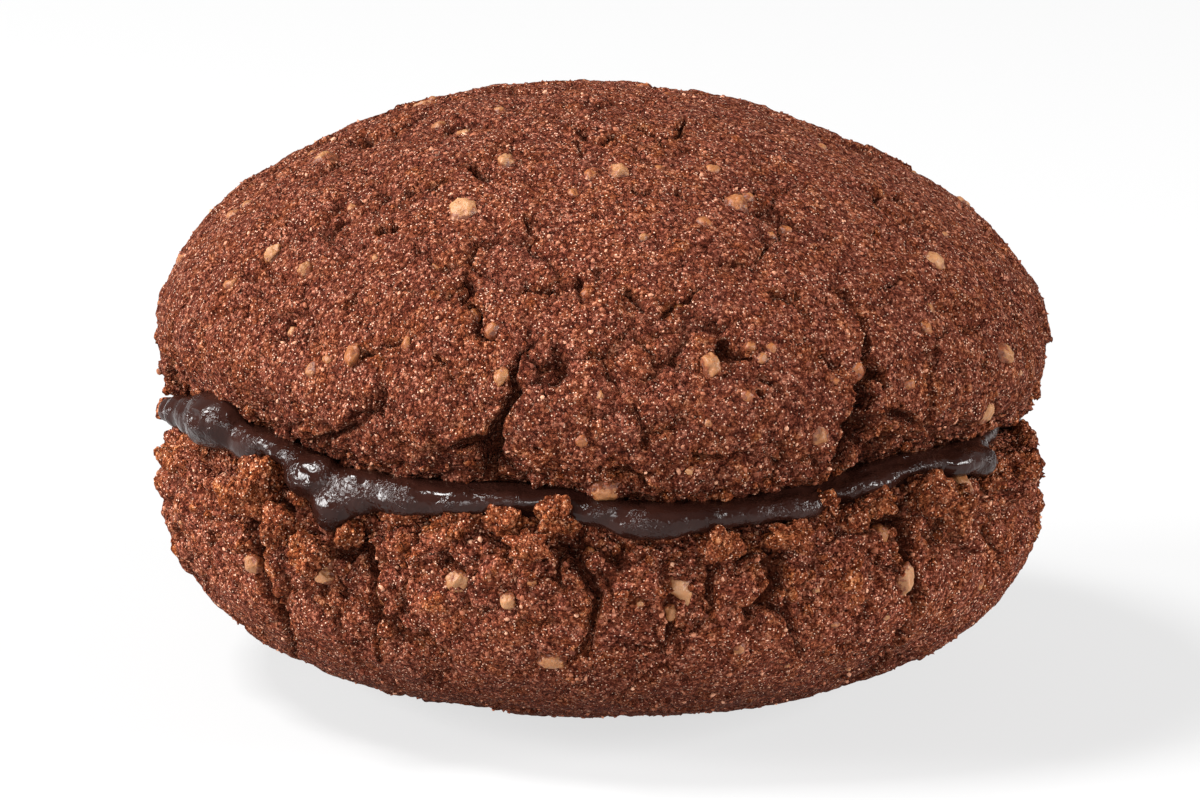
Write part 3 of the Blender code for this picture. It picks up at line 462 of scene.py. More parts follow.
def drawn_cracks(cookie):
    draw = random.Random(cookie.seed)
    cracks = []
    for number in range(DRAWN_CRACKS):
        azimuth = SHOWN_AZIMUTH + HIDDEN * (number + draw.uniform(0.3, 0.9)) / DRAWN_CRACKS
        climb = draw.uniform(1.2, 3.5)
        points = [(azimuth, climb)]
        for _ in range(draw.randint(3, 6)):
            azimuth += draw.uniform(-2.6, 2.6)
            climb += draw.uniform(1.1, 2.0)
            points.append((azimuth, climb))
        cracks.append((draw.uniform(0.7, 1.3), draw.uniform(0.8, 1.7), tuple(points)))
    return cracks


def main_relief(cookie, azimuth, climb, places):
    """The solids' relief: how far the skin stands off, how far it is sunk, and the cracks' lips."""
    edges = noise_at(places, RAGGED_SIZE, 3.1)
    torn = edges + 1.3 * noise_at(places, TORN_SIZE, 7.7)
    height = SWELL * noise_at(places, SWELL_SIZE, cookie.seed)
    height += LUMP * noise_at(places, LUMP_SIZE, cookie.seed)
    crumbly = cookie.crumbly * (1 - smooth_step(climb + RAGGED_SIZE * edges, 2.2 * MM, 5.2 * MM))
    height += CRUMB * crumbly * (crumbs_at(places, CRUMB_SIZE) - 0.6)
    sink = np.zeros(len(places))
    lips = np.zeros(len(places))
    for width, depth, points in list(cookie.cracks) + drawn_cracks(cookie):
        near, one, lip = crack_sink(cookie, places, torn, width, depth, points)
        sink[near] = np.maximum(sink[near], one)
        lips[near] = np.maximum(lips[near], lip)
    for around, along, radius, depth in cookie.hollows:
        middle = np.array(skin_place(cookie, around, along)[0])
        away = np.linalg.norm(places - middle, axis=1) * (1 + RAGGED * torn) / (radius * MM)
        sink = np.maximum(sink, depth * MM * np.clip(1 - away**2, 0, 1))
    for start, end, along, depth in cookie.ledges:
        degrees = np.degrees(azimuth)
        inside = smooth_step(degrees, start, start + 3) * (1 - smooth_step(degrees, end - 3, end))
        under = 1 - smooth_step(climb + 0.5 * RAGGED_SIZE * edges, (along - 0.4) * MM, (along + 0.4) * MM)
        sink = np.maximum(sink, depth * MM * inside * under)
    return height, sink, lips


def drawn_fissures(cookie):
    """Thin fissures for the sides and the back, each a short bent line."""
    draw = random.Random(cookie.seed + 7)
    top_climb = profile(cookie)[0][-1] / MM
    fissures = []
    while len(fissures) < DRAWN_FISSURES:
        azimuth = SHOWN_AZIMUTH + draw.uniform(0, HIDDEN)
        climb = draw.uniform(2, top_climb - 4)
        if draw.random() > (top_climb - climb) / top_climb + 0.15:
            continue
        way = draw.uniform(0, math.pi)
        points = []
        for _ in range(draw.randint(3, 5)):
            points.append((azimuth, climb))
            way += draw.uniform(-0.7, 0.7)
            step = draw.uniform(0.6, 1.1)
            across = math.degrees(math.cos(way) * step * MM / COOKIE_RADIUS)
            azimuth += across * top_climb / (top_climb - climb + 2)
            climb += math.sin(way) * step
        fissures.append((draw.uniform(0.5, 1.0), draw.uniform(0.5, 1.0), tuple(points)))
    return fissures


def fine_relief(cookie, climb, places):
    """The finer relief of the crust: its height, a gap mask painted as shade, and a crest mask painted as
    light.
    """
    warp = warp_at(places, WARP_SIZE, cookie.seed, (11, 23, 35)) * WARP * MM
    fine_warp = warp_at(places, FINE_WARP_SIZE, cookie.seed, (13, 27, 39)) * FINE_WARP * MM
    bent = places + warp + fine_warp
    _, plate_gap, plate_pick = cells_at(bent, PLATE_SIZE)
    near, cluster_gap, pick = cells_at(bent, CLUSTER_SIZE)
    grain_near, grain_gap, _ = cells_at(places + fine_warp, GRAIN_SIZE)
    patch = noise_at(places, PATCH_SIZE, cookie.seed + 50)
    worn = noise_at(places, WORN_SIZE, cookie.seed + 61)
    reach = 9 * MM if cookie.side < 0 else 3 * MM
    crumbly = 1 - smooth_step(climb + 1.5 * MM * worn, 0.35 * reach, reach)
    rim = 1 - smooth_step(climb, 2 * MM, 9 * MM)
    open_plates = smooth_step(patch + 0.4 * rim, -0.05, 0.35)
    fissure = open_plates * (1 - smooth_step(plate_gap, 0.015, 0.075))
    open_clusters = smooth_step(worn + 0.3 * rim + 0.6 * crumbly, -0.02, 0.36)
    seams = open_clusters * (1 - smooth_step(cluster_gap, 0.0, 0.16))
    rough = 0.45 + 0.45 * open_clusters + 0.85 * crumbly
    height = CLUSTER * rough * (0.5 - near) * 1.5 + GRAIN * (0.7 + 0.8 * crumbly) * (0.45 - grain_near) * 1.6
    height += PLATE_STEP * open_plates * (plate_pick - 0.5)
    height += CLUSTER_STEP * open_clusters * (pick - 0.5) * (1 + crumbly)
    height -= FISSURE * fissure + (0.13 + 0.11 * crumbly) * MM * seams
    # Painted shade: fissures, cluster seams and the narrow spaces between grains are painted dark.
    between_grains = 0.15 * (1 - smooth_step(grain_gap, 0, 0.12))
    depth_shade = np.clip(fissure + 0.4 * seams * (1 + 0.5 * crumbly) + between_grains, 0, 1)
    # Where broken crumb stands up: a crest mask, painted lighter and warmer as painted light.
    broken = smooth_step(0.6 * open_clusters + 0.7 * crumbly, 0.0, 0.6)
    return height, depth_shade, smooth_step(height, 0.02 * MM, 0.26 * MM) * broken


def shaped_skin(cookie, azimuth, climb):
    """Places on the finished crust, the plain skin's normals, a crack mask painted as shade, a crest mask
    painted as light.
    """
    places, normals = skin(cookie, azimuth, climb)
    height, sink, lips = main_relief(cookie, azimuth, climb, places)
    jagged = noise_at(places, JAGGED_SIZE, cookie.seed + 5) * JAGGED
    thin = np.zeros(len(places))
    for width, depth, points in list(cookie.fissures) + drawn_fissures(cookie):
        near, one, lip = crack_sink(cookie, places, jagged, FISSURE_WIDTH * width, depth, points, closing=0.3)
        thin[near] = np.maximum(thin[near], one)
        lips[near] = np.maximum(lips[near], 0.8 * lip)
    sink = np.maximum(sink, thin)
    fine, depth_shade, crest_light = fine_relief(cookie, climb, places)
    # How far into a crack each place is: it lessens the finer relief and the lips, and is painted near black
    # as painted shade.
    in_crack = np.clip(sink / DARK_DEPTH, 0, 1)
    out = height - sink + fine * (1 - 0.5 * in_crack) + LIP * lips * (1 - in_crack)
    out *= smooth_step(climb, -1.5 * MM, 0.8 * MM)
    shaped = places + normals * out[:, None]
    # Crests and crack lips are painted lighter and warmer as painted light, except inside cracks.
    crest_light = np.clip(crest_light + 0.6 * lips, 0, 1) * (1 - in_crack)
    return shaped, normals, np.clip(in_crack + 0.7 * depth_shade, 0, 1), crest_light


def link_object(name, data):
    obj = bpy.data.objects.new(name, data)
    bpy.context.scene.collection.objects.link(obj)
    return obj


def add_modifier(obj, kind, **settings):
    modifier = obj.modifiers.new(kind.title(), kind)
    for key, value in settings.items():
        setattr(modifier, key, value)


def apply_modifiers(obj):
    bpy.context.view_layer.update()
    graph = bpy.context.evaluated_depsgraph_get()
    obj.data = bpy.data.meshes.new_from_object(obj.evaluated_get(graph))
    obj.modifiers.clear()


def shade_smooth(mesh):
    mesh.polygons.foreach_set("use_smooth", np.ones(len(mesh.polygons), bool))


def mesh_from(name, points, triangles):
    mesh = bpy.data.meshes.new(name)
    mesh.vertices.add(len(points))
    mesh.vertices.foreach_set("co", np.ascontiguousarray(points, np.float32).ravel())
    mesh.loops.add(3 * len(triangles))
    mesh.loops.foreach_set("vertex_index", np.ascontiguousarray(triangles, np.int32).ravel())
    mesh.polygons.add(len(triangles))
    mesh.polygons.foreach_set("loop_start", np.arange(0, 3 * len(triangles), 3, dtype=np.int32))
    mesh.update(calc_edges=True)
    return mesh


def ball(level):
    bm = bmesh.new()
    bmesh.ops.create_icosphere(bm, subdivisions=level, radius=1)
    points = np.array([vert.co for vert in bm.verts])
    triangles = np.array([[vert.index for vert in face.verts] for face in bm.faces])
    bm.free()
    return points, triangles


def unevenness(points, scale, number):
    """Soft noise over a ball of radius 1, as a column, another one for each number."""
    move = Vector((number, 0, 0))
    return np.array([[noise.noise(Vector(p) * scale + move)] for p in points.tolist()])


def label(mesh, name, values):
    mesh.attributes.new(name, "FLOAT", "POINT").data.foreach_set("value", values.astype(np.float32))


def crust(name, cookie):
    sphere, triangles = ball(FINE_LEVEL - (0))
    azimuth = np.arctan2(sphere[:, 0], -sphere[:, 1])
    azimuth -= FRONT_DENSITY * np.sin(azimuth)
    from_pole = np.arccos(np.clip(cookie.side * sphere[:, 2], -1, 1))
    top_climb = profile(cookie)[0][-1]
    on_skin = top_climb * (1 - from_pole / SKIN_ANGLE)
    on_flat = -FLAT_RADIUS * (from_pole - SKIN_ANGLE) / (math.pi - SKIN_ANGLE)
    climb = np.where(from_pole < SKIN_ANGLE, on_skin, on_flat)
    shaped, _, depth_shade, crest_light = shaped_skin(cookie, azimuth, climb)
    if cookie.side < 0:
        shaped[:, 2] = np.maximum(shaped[:, 2], 0)
    mesh = mesh_from(name, shaped, triangles)
    # Masks for the colour: painted shade in cracks and between grains, painted light on crests.
    label(mesh, "depth_shade", depth_shade)
    label(mesh, "crest_light", crest_light)
    obj = link_object(name, mesh)
    add_modifier(obj, "DECIMATE", ratio=min(1, CRUST_TRIANGLES / len(triangles)))
    apply_modifiers(obj)
    shade_smooth(obj.data)
    return obj


def turned(normal):
    """A frame whose third axis is the normal and whose second points up along the skin."""
    across = Vector((0, 0, 1)).cross(normal).normalized()
    return Matrix((across, normal.cross(across), normal)).transposed()


def joined(name, blobs, *names):
    """One mesh from blobs, each its points, its triangles, and then its values for each of the names."""
    starts = np.cumsum([0] + [len(blob[0]) for blob in blobs[:-1]])
    points = np.concatenate([blob[0] for blob in blobs])
    triangles = np.concatenate([blob[1] + start for blob, start in zip(blobs, starts)])
    mesh = mesh_from(name, points, triangles)
    for number, of_each in enumerate(names, 2):
        label(mesh, of_each, np.concatenate([np.broadcast_to(blob[number], len(blob[0])) for blob in blobs]))
    shade_smooth(mesh)
    return link_object(name, mesh)


def drawn_nuts(cookie):
    draw = random.Random(cookie.seed + 1)
    top_climb = profile(cookie)[0][-1] / MM
    nuts = []
    for number in range(DRAWN_NUTS):
        share = (number * 0.618 + draw.uniform(0, 0.08)) % 1
        climb = 2.5 + (top_climb - 10) * (number + 0.5) / DRAWN_NUTS
        nuts.append((SHOWN_AZIMUTH + HIDDEN * share, climb, draw.uniform(0.9, 1.7), draw.uniform(1.0, 1.8)))
    return nuts


def drawn_clods(cookie):
    draw = random.Random(cookie.seed + 2)
    clods = []
    for number in range(DRAWN_CLODS):
        azimuth = SHOWN_AZIMUTH + HIDDEN * (number + draw.uniform(0.2, 0.8)) / DRAWN_CLODS
        stands_off = draw.uniform(-0.3, 0.1)
        climb, width, height = draw.uniform(0.4, 2.6), draw.uniform(1.6, 2.9), draw.uniform(1.6, 2.6)
        clods.append((azimuth, climb, width, height, stands_off))
    return clods


def clod_blobs():
    """The clods of the seam, each with the lumps and grains of broken crumb."""
    blobs = []
    clods = list(CLODS) + drawn_clods(BOTTOM)
    for number, (azimuth, climb, width, height, stands_off) in enumerate(clods):
        place, normal = skin_place(BOTTOM, azimuth, climb)
        points, triangles = ball(5 if number < len(CLODS) else 4)
        size = np.array([width, height, min(width, height)]) / 2 * MM
        points = points * (1 + CLOD_ROUGH * unevenness(points, 1.5, number)) * size
        near, gap, _ = cells_at(points + number * 0.01, CLOD_GRAIN_SIZE)
        lift = CLOD_GRAIN * (0.5 - near) - CLOD_GAP * (1 - smooth_step(gap, 0, 0.25))
        for stands, scale in CLOD_NOISES:
            lift += stands * noise_at(points, scale, number)
        points = points * (1 + lift / (0.5 * MM * min(width, height)))[:, None]
        world = points @ np.array(turned(normal)).T + np.array(place + normal * stands_off * MM)
        # Painted shade in the spaces between the clod's grains.
        depth_shade = smooth_step(0.5 * noise_at(points, 0.8 * MM, number + 40) - gap, 0.02, 0.25)
        blobs.append((world, triangles, depth_shade))
    return blobs


def nut_blob(place, normal, width, height, toast, shows, level, seed):
    """A broken piece of nut: flat, uneven facets, sunk into the crust, with a mask of its foot for dough and
    painted shade.
    """
    draw = random.Random(seed)
    points, triangles = ball(level)
    for _ in range(NUT_FACETS):
        facet = np.array([draw.gauss(0, 1) for _ in range(3)])
        facet /= np.linalg.norm(facet)
        over = np.maximum(points @ facet - draw.uniform(*FACET_FROM), 0)
        points = points - over[:, None] * facet * 0.9
    rough = unevenness(points, 2.6, seed)
    points = points * (1 + NUT_ROUGH * rough)
    thickness = min(width, height)
    points = points * np.array([width, height, thickness]) / 2 * MM * NUT_SPREAD
    sunk = shows - points[:, 2].max()
    # The foot mask: the nut's colour turns to dough and to painted shade where it meets the crust.
    stuck_and_foot_shade = 1 - smooth_step(points[:, 2] + sunk + 0.22 * MM * rough[:, 0], -0.05 * MM, 0.8 * shows)
    world = points @ np.array(turned(Vector(normal))).T + place + normal * sunk
    world[:, 2] = np.maximum(world[:, 2], 0)
    return world, triangles, toast, stuck_and_foot_shade


def small_places(cookie, seed, count, low_climb):
    """Points spread evenly over a cookie's skin: azimuth and climb, drawn by area."""
    draw = np.random.default_rng(seed)
    at, radius, _ = profile(cookie)
    picks = []
    while len(picks) < count:
        climb = draw.uniform(low_climb, at[-1])
        if draw.uniform() < np.interp(climb, at, radius) / COOKIE_RADIUS:
            picks.append((draw.uniform(-math.pi, math.pi), climb))
    return np.array(picks).T


def nut_blobs():
    blobs = []
    draw = random.Random(3)
    for cookie in (TOP, BOTTOM):
        top_climb = profile(cookie)[0][-1] / MM
        pieces = []
        for piece, toast in zip(cookie.nuts, cookie.toasts):
            pieces.append((*piece, toast, NUT_SHOWS * (0.62 + 0.26 * piece[3]), 4))
        pieces += [(*piece, draw.uniform(0.05, 0.8), DRAWN_NUT_SHOWS, 4) for piece in drawn_nuts(cookie)]
        drawn = []
        while len(drawn) < DRAWN_BITS:
            climb = draw.uniform(1, top_climb)
            if draw.random() < (top_climb - climb) / top_climb + 0.1:
                azimuth = BITS_AZIMUTH + draw.uniform(0, 360 - 2 * BITS_AZIMUTH)
                drawn.append((azimuth, climb, draw.uniform(0.45, 1.0), draw.uniform(0.2, 1.0)))
        for azimuth, climb, size, toast in list(cookie.bits) + drawn:
            shows = (0.05 + 0.16 * size) * MM
            pieces.append((azimuth, climb, size, size * draw.uniform(0.85, 1.2), toast, shows, 3))
        table = np.array([piece[:2] for piece in pieces])
        shaped, normals, _, _ = shaped_skin(cookie, np.radians(table[:, 0]), table[:, 1] * MM)
        for number, (place, normal, piece) in enumerate(zip(shaped, normals, pieces)):
            if place[2] > 0.5 * MM:
                blobs.append(nut_blob(place, normal, *piece[2:], cookie.seed * 100 + number))
    return blobs


def scatter(name, level, jitter, kind):
    """Small irregular balls of one kind, joined to one mesh, each with its own tint."""
    points, triangles = ball(level)
    draw = np.random.default_rng(kind.seed + 1)
    places, normals, sizes = loose_picks(kind)
    count = len(places)
    shape = points[None] * (1 + jitter * draw.normal(size=(count, len(points), 1)))
    shape = shape * sizes[:, None, None] * draw.uniform(0.65, 1.35, size=(count, 1, 3))
    turn = np.linalg.qr(draw.normal(size=(count, 3, 3)))[0]
    shape = np.einsum("nij,nkj->nik", shape, turn)
    world = shape + (places + normals * (sizes * kind.stand)[:, None])[:, None]
    order = triangles[None] + (np.arange(count) * len(points))[:, None, None]
    mesh = mesh_from(name, world.reshape(-1, 3), order.reshape(-1, 3))
    label(mesh, "tint", np.repeat(draw.uniform(size=count), len(points)))
    return link_object(name, mesh)


def loose_picks(kind):
    """Where loose crumbs or grains lie, away from cracks: one share near the seam, the rest all over."""
    draw = np.random.default_rng(kind.seed)
    parts = []
    for cookie in (TOP, BOTTOM):
        near = int(kind.count * kind.rim_share * (0.25 if cookie.side > 0 else 0.75))
        wide = int(kind.count * (1 - kind.rim_share) / 2)
        azimuth, climb = small_places(cookie, kind.seed + cookie.seed, wide, 0.4 * MM)
        rim_azimuth = draw.uniform(-math.pi, math.pi, near)
        reach = kind.reach * (0.5 if cookie.side > 0 else 1)
        rim_climb = (0.2 + reach * draw.uniform(size=near) ** 1.4) * MM
        azimuth = np.concatenate([azimuth, rim_azimuth])
        climb = np.concatenate([climb, rim_climb])
        shaped, normals, depth_shade, _ = shaped_skin(cookie, azimuth, climb)
        parts.append((shaped, normals, depth_shade))
    places, normals, depth_shade = (np.concatenate([part[n] for part in parts]) for n in range(3))
    sizes = (kind.small + (kind.large - kind.small) * draw.uniform(size=len(places)) ** kind.skew) / 2 * MM
    keep = (places[:, 2] > sizes * 1.6) & (depth_shade < 0.6)
    return places[keep], normals[keep], sizes[keep]


def bare_share(azimuth):
    """How far the ganache stays back from the edge at this azimuth in radians, from 0 to 1."""
    share = 0.0
    for start, end in BARE_STRETCHES:
        inside = min(math.degrees(azimuth) - start, end - math.degrees(azimuth))
        share = max(share, float(smooth_step(inside, 0, BARE_FADE)))
    return share


def ganache_disc():
    """The filling without its drops: a disc that follows the seam."""
    bm = bmesh.new()
    bmesh.ops.create_uvsphere(bm, u_segments=DISC_SIDES, v_segments=DISC_RINGS, radius=1)
    for vert in bm.verts:
        azimuth = math.atan2(vert.co.x, -vert.co.y)
        rim = vert.co.xy.length
        wave = noise.noise(Vector((math.sin(azimuth), math.cos(azimuth), 0)) * 4)
        edge = FILLING_RADIUS + FILLING_WAVE * wave - BARE_DEPTH * bare_share(azimuth)
        radius = edge * min(1, rim / 0.6) - FILLING_EDGE * (1 - math.sqrt(max(0, 1 - vert.co.z**2)))
        radius = max(radius, 0) if rim > 0.001 else 0
        half = SEAM_GAP / 2 + DISC_SWELL * smooth_step(radius, FLAT_RADIUS - 1 * MM, FLAT_RADIUS + 1 * MM)
        flatness = math.copysign(min(1, abs(vert.co.z) * 1.3), vert.co.z)
        middle = SEAM_HEIGHT + float(seam_line(azimuth) * line_weight(radius - FLAT_RADIUS))
        vert.co = (radius * math.sin(azimuth), -radius * math.cos(azimuth), middle + half * flatness)
    mesh = bpy.data.meshes.new("ganache")
    bm.to_mesh(mesh)
    bm.free()
    return link_object("ganache", mesh)


def ganache_drops():
    lumps = bpy.data.collections.new("drops")
    bpy.context.scene.collection.children.link(lumps)
    for number, (azimuth, radius, height, outward, along, upward) in enumerate(DROPS):
        turn = math.radians(azimuth)
        normal = Vector((math.sin(turn), -math.cos(turn), 0))
        points, triangles = ball(4)
        size = np.array([along, upward, outward]) * MM
        points = points * (1 + DROP_ROUGH * unevenness(points, 1.5, number)) * size
        place = normal * radius * MM + Vector((0, 0, SEAM_HEIGHT + height * MM))
        world = points @ np.array(turned(normal)).T + np.array(place)
        drop = bpy.data.objects.new(f"drop_{number}", mesh_from(f"drop_{number}", world, triangles))
        lumps.objects.link(drop)
    return lumps


def ganache():
    obj = ganache_disc()
    lumps = ganache_drops()
    add_modifier(obj, "BOOLEAN", operation="UNION", operand_type="COLLECTION", collection=lumps,
                 solver="MANIFOLD")
    apply_modifiers(obj)
    for drop in list(lumps.objects):
        bpy.data.objects.remove(drop)
    bpy.data.collections.remove(lumps)
    add_modifier(obj, "REMESH", mode="VOXEL", voxel_size=MELT_CELL)
    add_modifier(obj, "SMOOTH", factor=0.5, iterations=MELT_ROUNDS)
    apply_modifiers(obj)
    wrinkle_ganache(obj.data)
    triangles = sum(len(face.vertices) - 2 for face in obj.data.polygons)
    add_modifier(obj, "DECIMATE", ratio=min(1, GANACHE_TRIANGLES / triangles))
    apply_modifiers(obj)
    shade_smooth(obj.data)
    return obj


def wrinkle_ganache(mesh):
    """Moves the mesh's outer part by soft wrinkles, smoother at the left end, and by burst bubbles."""
    points = np.empty(3 * len(mesh.vertices), np.float32)
    mesh.vertices.foreach_get("co", points)
    points = points.reshape(-1, 3).astype(float)
    outside = np.hypot(points[:, 0], points[:, 1]) > WRINKLED_FROM
    wrinkle = np.zeros(len(points))
    for size, shift, height in WRINKLE_NOISES:
        wrinkle[outside] += noise_at(points[outside], size, shift) * height * MM
    wrinkle *= 1 - 0.75 * smooth_step(np.degrees(np.arctan2(-points[:, 0], -points[:, 1])), 60, 66)
    for azimuth, height, size, sunk in BUBBLES:
        turn = math.radians(azimuth)
        middle = np.array([math.sin(turn), -math.cos(turn)]) * 28 * MM
        sideways = np.linalg.norm(points[:, :2] - middle, axis=1) - 0.2 * MM
        off = np.hypot(sideways, points[:, 2] - SEAM_HEIGHT - height * MM) / (size * MM)
        hole = 1 - smooth_step(off, 0.4, 1.0)
        lip = 1 - smooth_step(abs(off - 1.15), 0, 0.3)
        wrinkle -= sunk * MM * (hole - 0.5 * lip)
    away = points / np.maximum(np.linalg.norm(points[:, :2], axis=1, keepdims=True), 1e-6)
    away[:, 2] = 0
    points += away * wrinkle[:, None]
    mesh.vertices.foreach_set("co", points.astype(np.float32).ravel())
    mesh.update()


class Nodes:
    """Makes a material's nodes and links in few words."""

    def __init__(self, name):
        self.material = bpy.data.materials.new(name)
        self.material.use_nodes = True
        self.tree = self.material.node_tree
        self.shader = self.tree.nodes["Principled BSDF"]

    def fill(self, socket, value):
        if isinstance(value, bpy.types.NodeSocket):
            self.tree.links.new(value, socket)
        else:
            socket.default_value = value

    def add(self, kind, inputs=None, **settings):
        node = self.tree.nodes.new("ShaderNode" + kind)
        for key, value in settings.items():
            setattr(node, key, value)
        for key, value in (inputs or {}).items():
            self.fill(node.inputs[key], value)
        return node

    def out(self, kind, inputs=None, output=0, **settings):
        return self.add(kind, inputs, **settings).outputs[output]

    def noise(self, place, size, detail, output=0, **more):
        return self.out("TexNoise", {"Vector": place, "Scale": 1 / size, "Detail": detail, **more}, output)

    def cells(self, place, size):
        return self.add("TexVoronoi", {"Vector": place, "Scale": 1 / size})

    def pick(self, cells, which=0):
        """One of the three random numbers of the nearest cell."""
        return self.out("SeparateColor", {0: cells.outputs["Color"]}, which)

    def label(self, name):
        return self.out("Attribute", {}, 2, attribute_name=name)

    def math(self, operation, first, second=0.0):
        return self.out("Math", {0: first, 1: second}, operation=operation)

    def spread(self, value, low, high, to_low=0.0, to_high=1.0):
        return self.out("MapRange", {0: value, 1: low, 2: high, 3: to_low, 4: to_high})

    def dome(self, distance, edge, height):
        """A round hump over each cell's middle, from the distance to it."""
        return self.spread(self.math("MULTIPLY", distance, distance), 0.0, edge**2, height, 0.0)

    def bump(self, strength, distance, height, **more):
        inputs = {"Strength": strength, "Distance": distance, "Height": height, **more}
        self.set(normal=self.out("Bump", inputs))

    def ramp(self, value, *stops):
        node = self.add("ValToRGB", {0: value})
        elements = node.color_ramp.elements
        while len(elements) < len(stops):
            elements.new(0.5)
        for element, (position, colour) in zip(elements, stops):
            element.position = position
            element.color = (*colour, 1)
        return node.outputs[0]

    def mix(self, share, first, second, blend="MIX"):
        node = self.add("Mix", data_type="RGBA", blend_type=blend)
        for key, value in ((0, share), (6, first), (7, second)):
            self.fill(node.inputs[key], (*value, 1) if isinstance(value, tuple) else value)
        return node.outputs[2]

    def set(self, **inputs):
        for key, value in inputs.items():
            name = key.replace("_", " ").title().replace("Ior", "IOR")
            self.fill(self.shader.inputs[name], value)


def facets(n, place, size, tilt):
    """A normal that leans another way in each small cell, as sugar crystals' faces do, and the cells."""
    cells = n.cells(place, size)
    spread = n.out("VectorMath", {0: cells.outputs["Color"], 1: (0.5, 0.5, 0.5)}, operation="SUBTRACT")
    spread = n.out("VectorMath", {0: spread, "Scale": tilt}, operation="SCALE")
    plain = n.out("NewGeometry", {}, 1)
    leaning = n.out("VectorMath", {0: plain, 1: spread}, operation="ADD")
    return n.out("VectorMath", {0: leaning}, operation="NORMALIZE"), cells


def dough(name, warm=0.0, paler=1.0):
    """Baked cocoa dough: sugary grains of purple brown with painted glints, redder in patches, redder and
    lighter where it stands up, as painted light, and near black in cracks and darker towards the bottom, as
    painted shade."""
    n = Nodes(name)
    place = n.out("TexCoord", output=3)
    normal, grains = facets(n, place, 0.26 * MM, 0.60)
    fine = n.cells(place, 0.115 * MM)
    lumps = n.cells(place, 0.60 * MM)
    speckle = n.noise(place, 0.38 * MM, 3.0, Roughness=0.65)
    patches = n.noise(place, 1.7 * MM, 3.0, Roughness=0.6)
    stretches = n.noise(place, 6.0 * MM, 2.0)
    shade = n.math("ADD", n.spread(speckle, 0.30, 0.70, 0.0, 0.37), n.math("MULTIPLY", n.pick(grains), 0.19))
    shade = n.math("ADD", shade, n.math("MULTIPLY", n.pick(fine, 2), 0.45))
    plain = n.ramp(shade, (0.20, (0.027, 0.0040, 0.0015)), (0.38, (0.076, 0.0148, 0.0073)),
                   (0.55, (0.140, 0.0335, 0.0180)), (0.70, (0.262, 0.0800, 0.0470)),
                   (0.86, (0.50, 0.212, 0.138)))
    warmer = n.ramp(shade, (0.20, (0.047, 0.0066, 0.0013)), (0.38, (0.122, 0.0240, 0.0058)),
                    (0.55, (0.222, 0.0540, 0.0145)), (0.70, (0.370, 0.1170, 0.0380)),
                    (0.86, (0.58, 0.258, 0.112)))
    # Warmer and lighter: random patches and lumps as the dough's tone, and crests and crack lips as painted
    # light.
    crest_light = n.label("crest_light")
    warmth_and_crest_light = n.math("ADD", n.spread(patches, 0.46, 0.66, warm, warm + 0.34), n.math("MULTIPLY", crest_light, 0.75))
    warmth_and_crest_light = n.math("ADD", warmth_and_crest_light, n.spread(n.pick(lumps), 0.55, 1.0, 0.0, 0.24))
    base = n.mix(n.spread(warmth_and_crest_light, 0.0, 1.0), plain, warmer)
    base = n.mix(n.spread(stretches, 0.42, 0.66, 0.0, 0.12), base, (0.080, 0.021, 0.014))
    # Painted shade at the edges of each grain, darker towards them.
    grain_edge_shade = n.spread(grains.outputs["Distance"], 0.40, 0.90, 1.06, 0.66)
    base = n.mix(1.0, base, grain_edge_shade, "MULTIPLY")
    # Painted highlights: a few tiny bright specks in the colour, where sugar crystals would glint.
    painted_glints = n.spread(n.pick(fine, 1), 0.885, 0.91)
    middle = n.spread(fine.outputs["Distance"], 0.25, 0.50, 1.0, 0.0)
    base = n.mix(n.math("MULTIPLY", n.math("MULTIPLY", painted_glints, middle), 0.88), base, (0.84, 0.53, 0.38))
    # Painted shade: near black in cracks, fissures, seams and between grains.
    depth_shade = n.label("depth_shade")
    base = n.mix(n.spread(depth_shade, 0.25, 1.0, 0.0, 0.82), base, (0.022, 0.0038, 0.0012))
    base = n.mix(1.0, base, (paler, paler, paler), "MULTIPLY")
    # Darker towards the bottom: painted shade of the underside.
    height = n.out("SeparateXYZ", {0: place}, 2)
    base = n.mix(n.spread(height, 0.5 * MM, 8 * MM, 0.82, 0.0), base, (0.040, 0.0082, 0.0040))
    n.set(base_color=base, roughness=0.85, specular_ior_level=0.04)
    rounded = n.dome(grains.outputs["Distance"], 0.80, 1.5)
    smaller = n.dome(fine.outputs["Distance"], 0.80, 0.8)
    larger = n.dome(lumps.outputs["Distance"], 0.85, 1.7)
    uneven = n.spread(patches, 0.3, 0.7, 0.0, 2.0)
    height = n.math("ADD", n.math("ADD", rounded, smaller), n.math("ADD", larger, uneven))
    n.bump(1.0, 0.13 * MM, height, Normal=normal)
    return n.material


